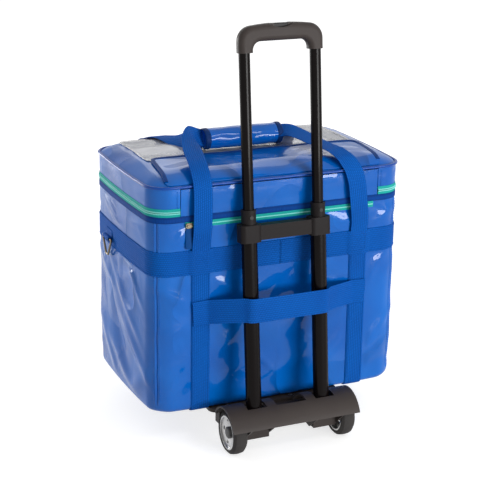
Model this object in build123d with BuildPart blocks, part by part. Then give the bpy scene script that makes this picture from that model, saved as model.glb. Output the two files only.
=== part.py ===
from build123d import *
import math
import os

os.makedirs("parts", exist_ok=True)

# Isothermal transport bag strapped to a folding two-wheel trolley.
# Millimetres, +Z up, floor at Z = 0, +X to the right as seen from the trolley side (-Y).

# ------------------------------------------------------------------ bag sizes
bag_width = 430.0          # between the side panels
bag_depth = 276.0          # near panel (behind the tubes) to far panel
bag_height = 372.0         # bottom panel to the piping round the lid
bag_bottom = 58.0          # bottom panel above the floor
corner_radius = 32.0       # upright corners, in plan
bottom_radius = 9.0        # turn from the walls into the bottom panel
near_bow = 1.5             # how far each side panel bows out at its middle
far_bow = 5.0
side_bow = 5.0
skin = 1.4                 # coated tarpaulin
foam = 12.0                # insulation board
liner = 0.8                # wipe-clean lining
board = 3.0                # stiffening board in the bottom
lid_foam = 13.0
piping_radius = 3.0
piping_stand = 1.2         # the bead's middle outside the wall
crown_height = 16.0        # padded top above the piping
crown_shoulder = 10.0      # height of the crown's shoulder above the piping
crown_foot = 3.0           # the crown starts this far in from the wall
crown_inset = 20.0         # shoulder in from the piping
crown_top_inset = 75.0     # flat of the crown in from the piping
crown_corner = 28.0        # corner radius of the crown, in plan

# ------------------------------------------------------------------ zips, webbing, rings
zip_below_piping = 39.0    # line of the lid zip below the piping
tape_height = 6.3          # each half of the lid zip
tape_gap = 0.4             # between the two halves
tooth_height = 2.3
tooth_stand = 1.2
lid_zip_end = 170.0        # the lid zip stops this far each side of the middle of the near panel
band_height = 10.0         # ribbed band under the lid zip
band_thick = 0.9
pocket_zip_height = 10.0
pocket_zip_half = 163.0
pocket_zip_thick = 0.8
webbing = 1.6              # thickness of one layer of webbing
belt_width = 40.0
belt_below_piping = 141.5  # lower edge of the belt below the piping
strap_width = 31.0         # upright straps and carry loops
strap_x = 137.5            # middle of the upright straps
loop_gap = 8.5             # the carry loops stand this far off the near and far panels
loop_rise = 14.0           # a loop rises straight past the piping before it arches
loop_peak = 45.0           # top of a carry loop's arch above the piping
loop_peak_run = 0.42       # where along its run the arch peaks
grip_length = 137.0
grip_radius = 17.5
grip_height = 36.0         # middle of the carry grip above the piping
grip_core_radius = 12.5
trim_width = 10.0
trim_stand = 0.8
trolley_strap_width = 40.0
trolley_strap_bottom = 204.0
slider_length = 11.0
slider_height = 8.0
slider_thick = 4.5
slider_body = 2.5          # thickness of its body, under the bail
slider_stand = 0.8         # air between a slider and the zip's teeth
puller_width = 12.0
puller_length = 34.0
puller_thick = 1.8
ring_y = 50.0              # ring behind the middle of the side panel
ring_above_belt = 14.5     # the ring's bar above the belt's lower edge
ring_width = 34.0
roll_width = 28.0          # webbing roll that holds the ring
ring_drop = 29.0
ring_wire = 1.6            # radius of the ring's wire
ring_play = 0.06           # air round the wire in its webbing roll
roll_radius = 4.6
window_half = 185.0
window_far = 125.0         # far edge of the document window behind the lid's middle
flap_half = 178.0
flap_far = -20.0           # far edge of the document flap, in front of the lid's middle
sheet = 0.8                # thickness of the window and the flap

# ------------------------------------------------------------------ trolley sizes
trolley_x = -7.0           # the trolley stands this far left of the bag's middle
tube_spacing = 119.0
tube_lean = 5.7            # degrees, towards the bag
foot_gap = 52.4            # tube foot in front of the near panel
foot_z = 76.0              # height of the tube feet's reference point
foot_sunk = 34.0           # the lower tubes reach this far below it, into the housing
lower_radius = 12.5
lower_wall = 1.65
middle_radius = 10.8
middle_wall = 1.2
upper_radius = 8.8
upper_wall = 1.2
crossbar_low = 265.0       # along the tubes, from the foot
crossbar_high = 293.0
crossbar_block = 35.0
crossbar_depth = 26.0
crossbar_corner = 8.0
crossbar_rib = 23.0        # height of the bar between the two blocks
crossbar_rib_depth = 19.0
collar_gap = 0.5
collar_height = 22.0
collar_radius = 11.5
handle_low = 555.5         # along the tubes, from the foot
handle_high = 598.5
handle_width = 141.0
handle_leg = 24.0
handle_bar = 27.0          # height of the grip bar
handle_depth = 22.0
handle_crown = 6.0         # the top of the grip bar rises this much to its middle
middle_low = 2.0
upper_overlap = 60.0       # upper tube left inside the middle tube when pulled out
button_length = 34.0
button_width = 11.0
button_travel = 4.0
rod_radius = 2.0
scoop_half = 22.0          # finger scoop in front of the release button, half its length
scoop_drop = 7.0           # and its depth below the top of the grip bar
running = 0.06             # radial air of a running fit
air = 0.4                  # air between pieces of different bodies

wheel_radius = 35.5
wheel_width = 24.0
wheel_mid = 95.0           # middle of a wheel from the trolley's middle
tyre_wall = 8.0
axle_radius = 4.0
fender_radius = 43.0
fender_wall = 3.0
fender_half = 111.0
fender_front = 20.0        # degrees above the axle at which the fender's front edge starts
fender_back = 150.0
well_wall = 2.5
well_x = 79.0              # inner wall of each wheel well
socket_width = 40.0
socket_depth = 34.0
socket_top = 68.0
socket_bottom = 25.0
boss_radius = 11.5
boss_inner = 38.0
beam_front = 33.0          # rear beam of the housing behind the axle
beam_back = 60.0
beam_half = 100.0
beam_bottom = 30.0
toe_near = 44.0            # near edge of the toe plate behind the axle
toe_half = 114.0
toe_length = 232.0
toe_thick = 6.0
toe_corner = 12.0
toe_screw_radius = 2.0
toe_screw_head = 4.2
toe_screw_sink = 2.4
toe_screw_length = 16.0
leg_size = 15.0
leg_x = 88.0
leg_inset = 14.0           # leg's middle in from the toe plate's far edge
pad_thick = 5.0

# ------------------------------------------------------------------ places worked out from the sizes
half_width = bag_width / 2
piping_z = bag_bottom + bag_height
zip_z = piping_z - zip_below_piping
lower_tape_low = zip_z - tape_gap / 2 - tape_height
upper_tape_high = zip_z + tape_gap / 2 + tape_height
band_low = lower_tape_low - band_height
pocket_zip_z = band_low - pocket_zip_height / 2
belt_bottom = piping_z - belt_below_piping
belt_top = belt_bottom + belt_width
ring_z = belt_bottom + ring_above_belt
front_reach = foot_gap + fender_radius * math.cos(math.radians(fender_front))
back_reach = bag_depth + far_bow + loop_gap + webbing
near_y = (front_reach - back_reach) / 2
far_y = near_y + bag_depth
mid_y = near_y + bag_depth / 2
axle_y = near_y - foot_gap
lean = math.radians(tube_lean)
tube_dir = Vector(0, math.sin(lean), math.cos(lean))
tube_foot = Vector(trolley_x, axle_y, foot_z)
across_tubes = Plane(origin=tube_foot, x_dir=(1, 0, 0), z_dir=tube_dir)
front_of_tubes = Plane(origin=tube_foot, x_dir=(1, 0, 0), z_dir=(0, -math.cos(lean), math.sin(lean)))
tube_x = tube_spacing / 2
grip_z = piping_z + grip_height
toe_top = bag_bottom - air
toe_bottom = toe_top - toe_thick
reach = 2 * bag_width      # longer than anything a cutting block has to clear


# ------------------------------------------------------------------ shared shapes
def bag_outline(grow=0.0, radius=None):
    """Plan of the bag: four bowed sides and round corners, `grow` outside the tarpaulin."""
    x = half_width + grow
    near = near_y - grow
    far = far_y + grow
    with BuildSketch(mode=Mode.PRIVATE) as plan:
        with BuildLine():
            ThreePointArc((-x, near), (0, near - near_bow), (x, near))
            ThreePointArc((x, near), (x + side_bow, mid_y), (x, far))
            ThreePointArc((x, far), (0, far + far_bow), (-x, far))
            ThreePointArc((-x, far), (-x - side_bow, mid_y), (-x, near))
        make_face()
        fillet(plan.vertices(), radius or corner_radius + grow)
    return plan.sketch


def bag_block(grow, low, high):
    """Upright block of the bag's plan between two heights."""
    with BuildPart(mode=Mode.PRIVATE) as block:
        with BuildSketch(Plane.XY.offset(low)):
            add(bag_outline(grow))
        extrude(amount=high - low)
    return block.part


def bag_body(grow, high):
    """The same block standing on the bag's bottom, with the bottom edge rounded."""
    with BuildPart(mode=Mode.PRIVATE) as block:
        add(bag_block(grow, bag_bottom - grow, high))
        fillet(block.faces().sort_by(Axis.Z)[0].edges(), bottom_radius + grow)
    return block.part


def lid_crown(drop=0.0):
    """Padded top of the lid: the plan drawn in twice as it rises, `drop` under the skin."""
    with BuildPart(mode=Mode.PRIVATE) as crown:
        with BuildSketch(Plane.XY.offset(piping_z - drop)):
            add(bag_outline(-crown_foot - drop, crown_corner))
        with BuildSketch(Plane.XY.offset(piping_z + crown_shoulder - drop)):
            add(bag_outline(-crown_inset, crown_corner))
        with BuildSketch(Plane.XY.offset(piping_z + crown_height - drop)):
            add(bag_outline(-crown_top_inset, crown_corner))
        loft()
    return crown.part


def slab(x_low, x_high, y_low, y_high, z_low, z_high):
    """Cutting block between six planes."""
    with BuildPart(mode=Mode.PRIVATE) as block:
        with BuildSketch(Plane.XY.offset(z_low)):
            with Locations(((x_low + x_high) / 2, (y_low + y_high) / 2)):
                Rectangle(x_high - x_low, y_high - y_low)
        extrude(amount=z_high - z_low)
    return block.part


def near_slab(half, low, high):
    """Block over the near wall, `half` each side of its middle, between two heights."""
    return slab(-half, half, near_y - corner_radius, near_y + corner_radius, low, high)


def tubes(outer, inner, low, high, sides=(-1, 1)):
    """Round tubes along the leaning trolley, between two distances from the foot."""
    with BuildPart(mode=Mode.PRIVATE) as pair:
        with BuildSketch(across_tubes.offset(low)):
            with Locations(*[(side * tube_x, 0) for side in sides]):
                Circle(outer)
                if inner:
                    Circle(inner, mode=Mode.SUBTRACT)
        extrude(amount=high - low)
    return pair.part


def finish(piece, name):
    """Label a finished piece and write its file."""
    piece.part.label = name
    export_step(piece.part, f"parts/{name}.step")


# ================================================================== bag: walls, foam and lining
lining_grow = -skin - foam
floor_foam_low = bag_bottom + skin + board
near_wall_top = piping_z - near_bow - piping_radius - air

with BuildPart() as body_shell:
    add(bag_body(0, lower_tape_low))
    add(bag_body(-skin, lower_tape_low), mode=Mode.SUBTRACT)
finish(body_shell, "body_shell")

with BuildPart() as base_board:
    add(bag_block(-skin - bottom_radius, bag_bottom + skin, floor_foam_low))
finish(base_board, "base_board")

with BuildPart() as body_insulation:
    add(bag_block(-skin, floor_foam_low, near_wall_top))
    fillet(body_insulation.faces().sort_by(Axis.Z)[0].edges(), bottom_radius - board)
    add(bag_block(lining_grow, floor_foam_low + foam, near_wall_top), mode=Mode.SUBTRACT)
    add(slab(-reach, reach, near_y + skin + foam, reach, lower_tape_low, piping_z), mode=Mode.SUBTRACT)
    for side in (-1, 1):
        beyond = sorted((side * (lid_zip_end - air), side * reach))
        add(slab(*beyond, -reach, reach, lower_tape_low, piping_z), mode=Mode.SUBTRACT)
finish(body_insulation, "body_insulation")

with BuildPart() as inner_liner:
    add(bag_block(lining_grow, floor_foam_low + foam, lower_tape_low))
    add(bag_block(lining_grow - liner, floor_foam_low + foam + liner, lower_tape_low), mode=Mode.SUBTRACT)
finish(inner_liner, "inner_liner")

with BuildPart() as near_rim_panel:
    add(bag_block(0, lower_tape_low, near_wall_top))
    add(bag_block(-skin, lower_tape_low, near_wall_top), mode=Mode.SUBTRACT)
    add(near_slab(lid_zip_end, lower_tape_low, near_wall_top), mode=Mode.INTERSECT)
finish(near_rim_panel, "near_rim_panel")

with BuildPart() as ribbed_band:
    add(bag_block(band_thick, band_low, lower_tape_low))
    add(bag_block(0, band_low, lower_tape_low), mode=Mode.SUBTRACT)
finish(ribbed_band, "ribbed_band")


# ================================================================== bag: zips
def zip_tape(low, high, tooth_low):
    """One half of the lid zip: the tape in the wall's thickness, with its row of teeth proud."""
    with BuildPart(mode=Mode.PRIVATE) as tape:
        add(bag_block(0, low, high))
        add(bag_block(tooth_stand, tooth_low, tooth_low + tooth_height))
        add(bag_block(-skin, low, high), mode=Mode.SUBTRACT)
        add(near_slab(lid_zip_end + air, low, high), mode=Mode.SUBTRACT)
    return tape.part


lower_tape_high = zip_z - tape_gap / 2
upper_tape_low = zip_z + tape_gap / 2

with BuildPart() as lid_zip_lower:
    add(zip_tape(lower_tape_low, lower_tape_high, lower_tape_high - tooth_height))
finish(lid_zip_lower, "lid_zip_lower")

with BuildPart() as lid_zip_upper:
    add(zip_tape(upper_tape_low, upper_tape_high, upper_tape_low))
finish(lid_zip_upper, "lid_zip_upper")

pocket_zip_low = pocket_zip_z - pocket_zip_height / 2
with BuildPart() as pocket_zip:
    add(bag_block(pocket_zip_thick, pocket_zip_low, band_low))
    add(bag_block(0, pocket_zip_low, band_low), mode=Mode.SUBTRACT)
    add(near_slab(pocket_zip_half, pocket_zip_low, band_low), mode=Mode.INTERSECT)
finish(pocket_zip, "pocket_zip")


def zip_slider(x, face_y, outward, middle_z):
    """Zip slider: a waisted body on the teeth with a bail over it, standing out from a wall."""
    with BuildPart(mode=Mode.PRIVATE) as slider:
        with BuildSketch(Plane.XZ.offset(-face_y)):
            with Locations((x, middle_z)):
                RectangleRounded(slider_length, slider_height, slider_height / 3)
        extrude(amount=-outward * slider_body)
        with BuildSketch(Plane.XZ.offset(-face_y - outward * slider_body)):
            with Locations((x, middle_z)):
                RectangleRounded(slider_length * 0.7, slider_height * 0.45, slider_height / 5)
        extrude(amount=-outward * (slider_thick - slider_body))
    return slider.part


def zip_puller(x, face_y, outward, top_z):
    """Cloth tab hanging from a slider, folded over the slider's bail."""
    with BuildPart(mode=Mode.PRIVATE) as puller:
        with BuildSketch(Plane.XZ.offset(-face_y)):
            with Locations((x, top_z - puller_length / 2)):
                RectangleRounded(puller_width, puller_length, puller_width / 6)
        extrude(amount=-outward * puller_thick)
    return puller.part


pocket_slider_x = -pocket_zip_half + slider_length / 2
pocket_slider_y = near_y - near_bow - pocket_zip_thick - air
with BuildPart() as pocket_slider:
    add(zip_slider(pocket_slider_x, pocket_slider_y, -1, pocket_zip_z))
finish(pocket_slider, "pocket_slider")

with BuildPart() as pocket_puller:
    add(zip_puller(pocket_slider_x, pocket_slider_y, -1, pocket_zip_z - slider_height / 2))
finish(pocket_puller, "pocket_puller")

lid_slider_y = far_y + far_bow + tooth_stand + slider_stand
lid_slider_z = zip_z - slider_height / 2 + tooth_height / 2
for side, name in ((-1, "left"), (1, "right")):
    slider_x = side * (slider_length / 2 + air)
    with BuildPart() as lid_slider:
        add(zip_slider(slider_x, lid_slider_y, 1, lid_slider_z))
    finish(lid_slider, f"lid_slider_{name}")
    with BuildPart() as lid_puller:
        add(zip_puller(slider_x, lid_slider_y, 1, lid_slider_z - slider_height / 2))
        shave = sorted((0, -side * puller_width))
        add(slab(*shave, far_y, far_y + reach, bag_bottom, zip_z), mode=Mode.SUBTRACT)
    finish(lid_puller, f"lid_puller_{name}")


# ================================================================== bag: webbing
with BuildPart() as belt:
    add(bag_block(webbing, belt_bottom, belt_top))
    add(bag_block(0, belt_bottom, belt_top), mode=Mode.SUBTRACT)
finish(belt, "belt")

for side, name in ((-1, "left"), (1, "right")):
    x_low = side * strap_x - strap_width / 2
    x_high = side * strap_x + strap_width / 2
    with BuildPart() as strap:
        add(bag_body(2 * webbing, belt_top))
        add(bag_body(0, belt_top), mode=Mode.SUBTRACT)
        add(slab(x_low, x_high, -reach, reach, 0, belt_top), mode=Mode.INTERSECT)
        add(belt.part, mode=Mode.SUBTRACT)
    finish(strap, f"upright_strap_{name}")

arm_out = 2 * webbing      # the arms are sewn on top of the upright straps
arm_sewn = 14.0            # height of the sewn stretch
arm_rise = 24.0            # height over which an arm leaves the wall
fold_room = 10.5           # a near arm ends this far under the lid's hinge line


def loop_arm(x, wall_y, outward, top):
    """Lower arm of a carry loop: sewn on the strap, then leaning out to hang clear of the zips."""
    with BuildPart(mode=Mode.PRIVATE) as arm:
        with BuildSketch(Plane.YZ.offset(x - strap_width / 2)):
            with BuildLine():
                Polyline(
                    (wall_y + outward * (arm_out + webbing / 2), belt_top - arm_sewn),
                    (wall_y + outward * (arm_out + webbing / 2), belt_top),
                    (wall_y + outward * (loop_gap + webbing / 2), belt_top + arm_rise),
                    (wall_y + outward * (loop_gap + webbing / 2), top),
                )
            trace(line_width=webbing)
        extrude(amount=strap_width)
    return arm.part


def loop_riser(x, wall_y, outward):
    """Straight stretch of a carry loop past the piping, up to the foot of its arch."""
    middle_y = wall_y + outward * (loop_gap + webbing / 2)
    sides = (x - strap_width / 2, x + strap_width / 2)
    return slab(*sides, middle_y - webbing / 2, middle_y + webbing / 2, piping_z, piping_z + loop_rise)


def loop_arch(side, wall_y, outward):
    """Upper half of a carry loop: a standing arch from the top of its riser to the grip's end."""
    foot = piping_z + loop_rise - webbing
    start = Vector(side * strap_x, wall_y + outward * (loop_gap + webbing / 2), foot)
    run = Vector(side * grip_length / 2, mid_y, start.Z) - start
    with BuildPart(mode=Mode.PRIVATE) as arch:
        across = run.normalized().cross(Vector(0, 0, 1))
        with BuildSketch(Plane(origin=start, x_dir=run, z_dir=across)):
            with BuildLine():
                ThreePointArc(
                    (0, 0),
                    (loop_peak_run * run.length, piping_z + loop_peak - foot),
                    (run.length + strap_width / 2, grip_z - foot),
                )
            trace(line_width=webbing)
        extrude(amount=strap_width / 2, both=True)
        add(slab(-grip_length / 2 - air, grip_length / 2 + air, -reach, reach, 0, reach), mode=Mode.SUBTRACT)
        behind = sorted((mid_y - outward * reach, mid_y + outward * air))
        add(slab(-reach, reach, *behind, 0, reach), mode=Mode.SUBTRACT)
        beyond = sorted((wall_y + outward * (loop_gap + webbing), wall_y + outward * reach))
        add(slab(-reach, reach, *beyond, 0, reach), mode=Mode.SUBTRACT)
    return arch.part


near_wall = near_y - near_bow
far_wall = far_y + far_bow
with BuildPart() as near_loop_arms:
    for side in (-1, 1):
        add(loop_arm(side * strap_x, near_wall, -1, piping_z - fold_room))
finish(near_loop_arms, "near_loop_arms")

with BuildPart() as near_loop_top:
    for side in (-1, 1):
        add(loop_riser(side * strap_x, near_wall, -1))
        add(loop_arch(side, near_wall, -1))
finish(near_loop_top, "near_loop_top")

with BuildPart() as far_loops:
    for side in (-1, 1):
        add(loop_arm(side * strap_x, far_wall, 1, piping_z))
        add(loop_riser(side * strap_x, far_wall, 1))
        add(loop_arch(side, far_wall, 1))
finish(far_loops, "far_loops")

strap_ends_y = near_wall - arm_out - webbing / 2
strap_front_y = axle_y + math.tan(lean) * (trolley_strap_bottom - foot_z) - crossbar_depth / 2 - webbing - air
strap_turn = tube_x + lower_radius + webbing + air
with BuildPart() as trolley_strap:
    with BuildSketch(Plane.XY.offset(trolley_strap_bottom)):
        with BuildLine():
            Polyline(
                (-strap_x - strap_width / 2, strap_ends_y),
                (-strap_x + strap_width / 2, strap_ends_y),
                (trolley_x - strap_turn, strap_front_y),
                (trolley_x + strap_turn, strap_front_y),
                (strap_x - strap_width / 2, strap_ends_y),
                (strap_x + strap_width / 2, strap_ends_y),
            )
        trace(line_width=webbing)
    extrude(amount=trolley_strap_width)
finish(trolley_strap, "trolley_strap")

# ------------------------------------------------------------------ rings in their webbing rolls
side_face = half_width + side_bow + webbing
roll_x = side_face + roll_radius
with BuildPart() as ring_tabs:
    for side in (-1, 1):
        with BuildSketch(Plane.XZ.offset(-mid_y - ring_y - roll_width / 2)):
            with Locations((side * roll_x, ring_z)):
                Circle(roll_radius)
            with Locations((side * (side_face + webbing / 2), ring_z + roll_radius)):
                Rectangle(webbing, 4 * roll_radius)
            with Locations((side * roll_x, ring_z)):
                Circle(ring_wire + ring_play, mode=Mode.SUBTRACT)
        extrude(amount=roll_width)
finish(ring_tabs, "ring_tabs")

for side, name in ((-1, "left"), (1, "right")):
    with BuildPart() as ring:
        bar = ring_width / 2 + 3 * ring_wire
        tip = 3 * ring_wire
        with BuildLine() as bent_wire:
            FilletPolyline(
                (side * roll_x, mid_y + ring_y + bar, ring_z),
                (side * roll_x, mid_y + ring_y + tip, ring_z - ring_drop),
                (side * roll_x, mid_y + ring_y - tip, ring_z - ring_drop),
                (side * roll_x, mid_y + ring_y - bar, ring_z),
                radius=1.6 * ring_wire,
                close=True,
            )
        with BuildSketch(Plane(origin=bent_wire.wire() @ 0, z_dir=bent_wire.wire() % 0)):
            Circle(ring_wire)
        sweep(path=bent_wire.wire())
    finish(ring, f"ring_{name}")


# ================================================================== lid
with BuildPart() as lid_shell:
    add(bag_block(0, upper_tape_high, piping_z))
    add(bag_block(-skin, upper_tape_high, piping_z - skin), mode=Mode.SUBTRACT)
    add(near_slab(lid_zip_end + air, upper_tape_high, piping_z - skin), mode=Mode.SUBTRACT)
    add(lid_crown())
    add(lid_crown(skin), mode=Mode.SUBTRACT)
finish(lid_shell, "lid_shell")

with BuildPart() as lid_padding:
    add(lid_crown(skin))
    add(slab(-reach, reach, -reach, reach, piping_z - skin, piping_z), mode=Mode.SUBTRACT)
finish(lid_padding, "lid_padding")

lid_foam_low = piping_z - skin - lid_foam
lid_foam_near = near_y + skin + foam + 4 * air
with BuildPart() as lid_insulation:
    add(bag_block(-skin, lid_foam_low, piping_z - skin))
    add(slab(-reach, reach, -reach, lid_foam_near, 0, reach), mode=Mode.SUBTRACT)
finish(lid_insulation, "lid_insulation")

with BuildPart() as lid_liner:
    add(bag_block(-skin, lid_foam_low - liner, lid_foam_low))
    add(slab(-reach, reach, -reach, lid_foam_near, 0, reach), mode=Mode.SUBTRACT)
finish(lid_liner, "lid_liner")

with BuildPart() as lid_piping:
    bead_low = piping_z - piping_radius
    bead_high = piping_z + piping_radius
    add(bag_block(piping_stand + piping_radius, bead_low, bead_high))
    level_faces = lid_piping.faces().sort_by(Axis.Z)
    fillet([*level_faces[0].edges(), *level_faces[-1].edges()], piping_radius - air)
    add(bag_block(0, bead_low, bead_high), mode=Mode.SUBTRACT)
finish(lid_piping, "lid_piping")

with BuildPart() as document_window:
    add(lid_crown(-sheet))
    add(lid_crown(), mode=Mode.SUBTRACT)
    add(slab(-window_half, window_half, mid_y + flap_far, mid_y + window_far, 0, reach), mode=Mode.INTERSECT)
finish(document_window, "document_window")

flap_near = near_y + 2 * piping_radius
with BuildPart() as document_flap:
    add(lid_crown(-2 * sheet))
    add(lid_crown(), mode=Mode.SUBTRACT)
    add(slab(-flap_half, flap_half, flap_near, mid_y + flap_far, 0, reach), mode=Mode.INTERSECT)
finish(document_flap, "document_flap")

# ------------------------------------------------------------------ carry grip
grip_plane = Plane(origin=(-grip_length / 2, mid_y, grip_z), x_dir=(0, 1, 0), z_dir=(1, 0, 0))
with BuildPart() as carry_grip:
    with BuildSketch(grip_plane):
        Circle(grip_radius)
        Circle(grip_core_radius, mode=Mode.SUBTRACT)
    extrude(amount=grip_length)
finish(carry_grip, "carry_grip")

with BuildPart() as grip_core:
    with BuildSketch(grip_plane):
        Circle(grip_core_radius)
    extrude(amount=grip_length)
finish(grip_core, "grip_core")

with BuildPart() as grip_trims:
    for start in (0, grip_length - trim_width):
        with BuildSketch(grip_plane.offset(start)):
            Circle(grip_radius + trim_stand)
            Circle(grip_radius, mode=Mode.SUBTRACT)
        extrude(amount=trim_width)
finish(grip_trims, "grip_trims")


# ================================================================== trolley: base housing
def base_plane(x):
    """Side view of the base at a distance from the trolley's middle, centred on the axle."""
    return Plane(origin=(trolley_x + x, axle_y, wheel_radius), x_dir=(0, 1, 0), z_dir=(1, 0, 0))


def sector(inner, outer, start, stop):
    """Arch section over the axle, from `start` to `stop` degrees, counted from the front."""
    first = 180 - stop
    sweep_angle = stop - start
    with BuildSketch(mode=Mode.PRIVATE) as arch:
        with BuildLine():
            outside = CenterArc((0, 0), outer, first, sweep_angle)
            inside = CenterArc((0, 0), inner, first, sweep_angle)
            Line(outside @ 0, inside @ 0)
            Line(outside @ 1, inside @ 1)
        make_face()
    return arch.sketch


inner_fender = fender_radius - fender_wall
socket_low = socket_bottom - wheel_radius
socket_high = socket_top - wheel_radius
beam_low = beam_bottom - wheel_radius
beam_top = toe_bottom - wheel_radius
screw_y = (toe_near + beam_back) / 2
screw_xs = (-82.0, -30.0, 30.0, 82.0)
pocket_front = -15.0       # the pockets round the tube feet start this far in front of the axle
pocket_outer = 16.5        # and reach this far beyond a tube's middle
centre_opening = 26.0

with BuildPart() as base_housing:
    with BuildSketch(base_plane(-fender_half)):
        add(sector(inner_fender, fender_radius, fender_front, fender_back))
    extrude(amount=2 * fender_half)
    # openings in the arch: a pocket round each tube foot and one between them
    for centre, half in ((-tube_x, pocket_outer), (0, centre_opening), (tube_x, pocket_outer)):
        with BuildSketch(base_plane(centre - half)):
            with Locations((pocket_front, wheel_radius)):
                Rectangle(reach, 2 * wheel_radius, align=(Align.MIN, Align.CENTER))
        extrude(amount=2 * half, mode=Mode.SUBTRACT)
    # walls of the wheel wells
    for side in (-1, 1):
        with BuildSketch(base_plane(min(side * well_x, side * (well_x + well_wall)))):
            with BuildLine():
                rim = CenterArc((0, 0), fender_radius, 180 - fender_back, fender_back - fender_front)
                Line(rim @ 1, (-boss_radius, -boss_radius))
                Line((-boss_radius, -boss_radius), (beam_front + well_wall, beam_low))
                Line((beam_front + well_wall, beam_low), rim @ 0)
            make_face()
        extrude(amount=well_wall)
    # rear beam that carries the toe plate, wider where it clears the wheels
    for front, half in ((beam_front, well_x + well_wall), (toe_near, beam_half)):
        with BuildSketch(base_plane(-half)):
            with Locations(((front + beam_back) / 2, (beam_low + beam_top) / 2)):
                Rectangle(beam_back - front, beam_top - beam_low)
        extrude(amount=2 * half)
    # sockets for the tube feet, joined to the beam
    for side in (-1, 1):
        with BuildSketch(base_plane(side * tube_x - socket_width / 2)):
            with BuildLine():
                Polyline(
                    (-socket_depth / 2, socket_low),
                    (beam_front + well_wall, socket_low),
                    (beam_front + well_wall, beam_top),
                    (socket_depth / 2, socket_high),
                    (-socket_depth / 2, socket_high),
                    close=True,
                )
            make_face()
        extrude(amount=socket_width)
    # axle bosses, each with its gusset to the fender's front edge
    for side in (-1, 1):
        with BuildSketch(base_plane(min(side * boss_inner, side * well_x))):
            Circle(boss_radius)
        extrude(amount=well_x - boss_inner)
        with BuildSketch(base_plane(side * boss_inner - well_wall / 2)):
            edge = fender_radius * math.cos(math.radians(fender_front)) - fender_wall
            lift = fender_radius * math.sin(math.radians(fender_front))
            with BuildLine():
                Polyline(
                    (-edge, lift),
                    (-boss_radius / 2, -boss_radius),
                    (beam_front + well_wall, beam_low),
                    (beam_front + well_wall, beam_top),
                    (0, beam_top),
                    (-edge, lift + fender_wall),
                    close=True,
                )
            make_face()
        extrude(amount=well_wall)
    # bores: axle, toe screws and the two tube feet
    with BuildSketch(base_plane(-fender_half)):
        Circle(axle_radius)
    extrude(amount=2 * fender_half, mode=Mode.SUBTRACT)
    with BuildSketch(Plane.XY.offset(toe_bottom)):
        with Locations(*[(trolley_x + x, axle_y + screw_y) for x in screw_xs]):
            Circle(toe_screw_radius)
    extrude(amount=-toe_screw_length, mode=Mode.SUBTRACT)
    add(tubes(lower_radius, 0, -foot_sunk, crossbar_low), mode=Mode.SUBTRACT)
finish(base_housing, "base_housing")


# ================================================================== trolley: axle and wheels
axle_short = 5.0           # the axle ends this far inside the wheels' outer faces
axle_half = wheel_mid + wheel_width / 2 - axle_short
nut_thick = 2.0
nut_radius = 7.0
with BuildPart() as axle:
    with BuildSketch(base_plane(-axle_half)):
        Circle(axle_radius)
    extrude(amount=2 * axle_half)
finish(axle, "axle")

with BuildPart() as axle_nuts:
    for side in (-1, 1):
        with BuildSketch(base_plane(min(side * axle_half, side * (axle_half - nut_thick)))):
            Circle(nut_radius)
            Circle(axle_radius, mode=Mode.SUBTRACT)
        extrude(amount=nut_thick)
finish(axle_nuts, "axle_nuts")

rim_radius = wheel_radius - tyre_wall
tread_inset = 3.5          # the tread ends this far in from the tyre's side
tread_drop = 1.2           # and this much lower than its middle
shoulder_drop = 5.0
rim_wall = 2.5
rim_step = 3.0             # the disc leaves the rim this far in from the rim's edge
hub_radius = 9.0
disc_thick = 3.0
cap_radius = 9.5
cap_thick = 3.0
hub_outer = wheel_width / 2 - axle_short - nut_thick - air
slot_count = 5
slot_length = 7.0
slot_width = 3.6


def wheel_profile_plane(side):
    """Half-section plane of a wheel: distance outward along the axle, then radius."""
    return Plane(
        origin=(trolley_x + side * wheel_mid, axle_y, wheel_radius),
        x_dir=(side, 0, 0),
        z_dir=(0, -side, 0),
    )


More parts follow.
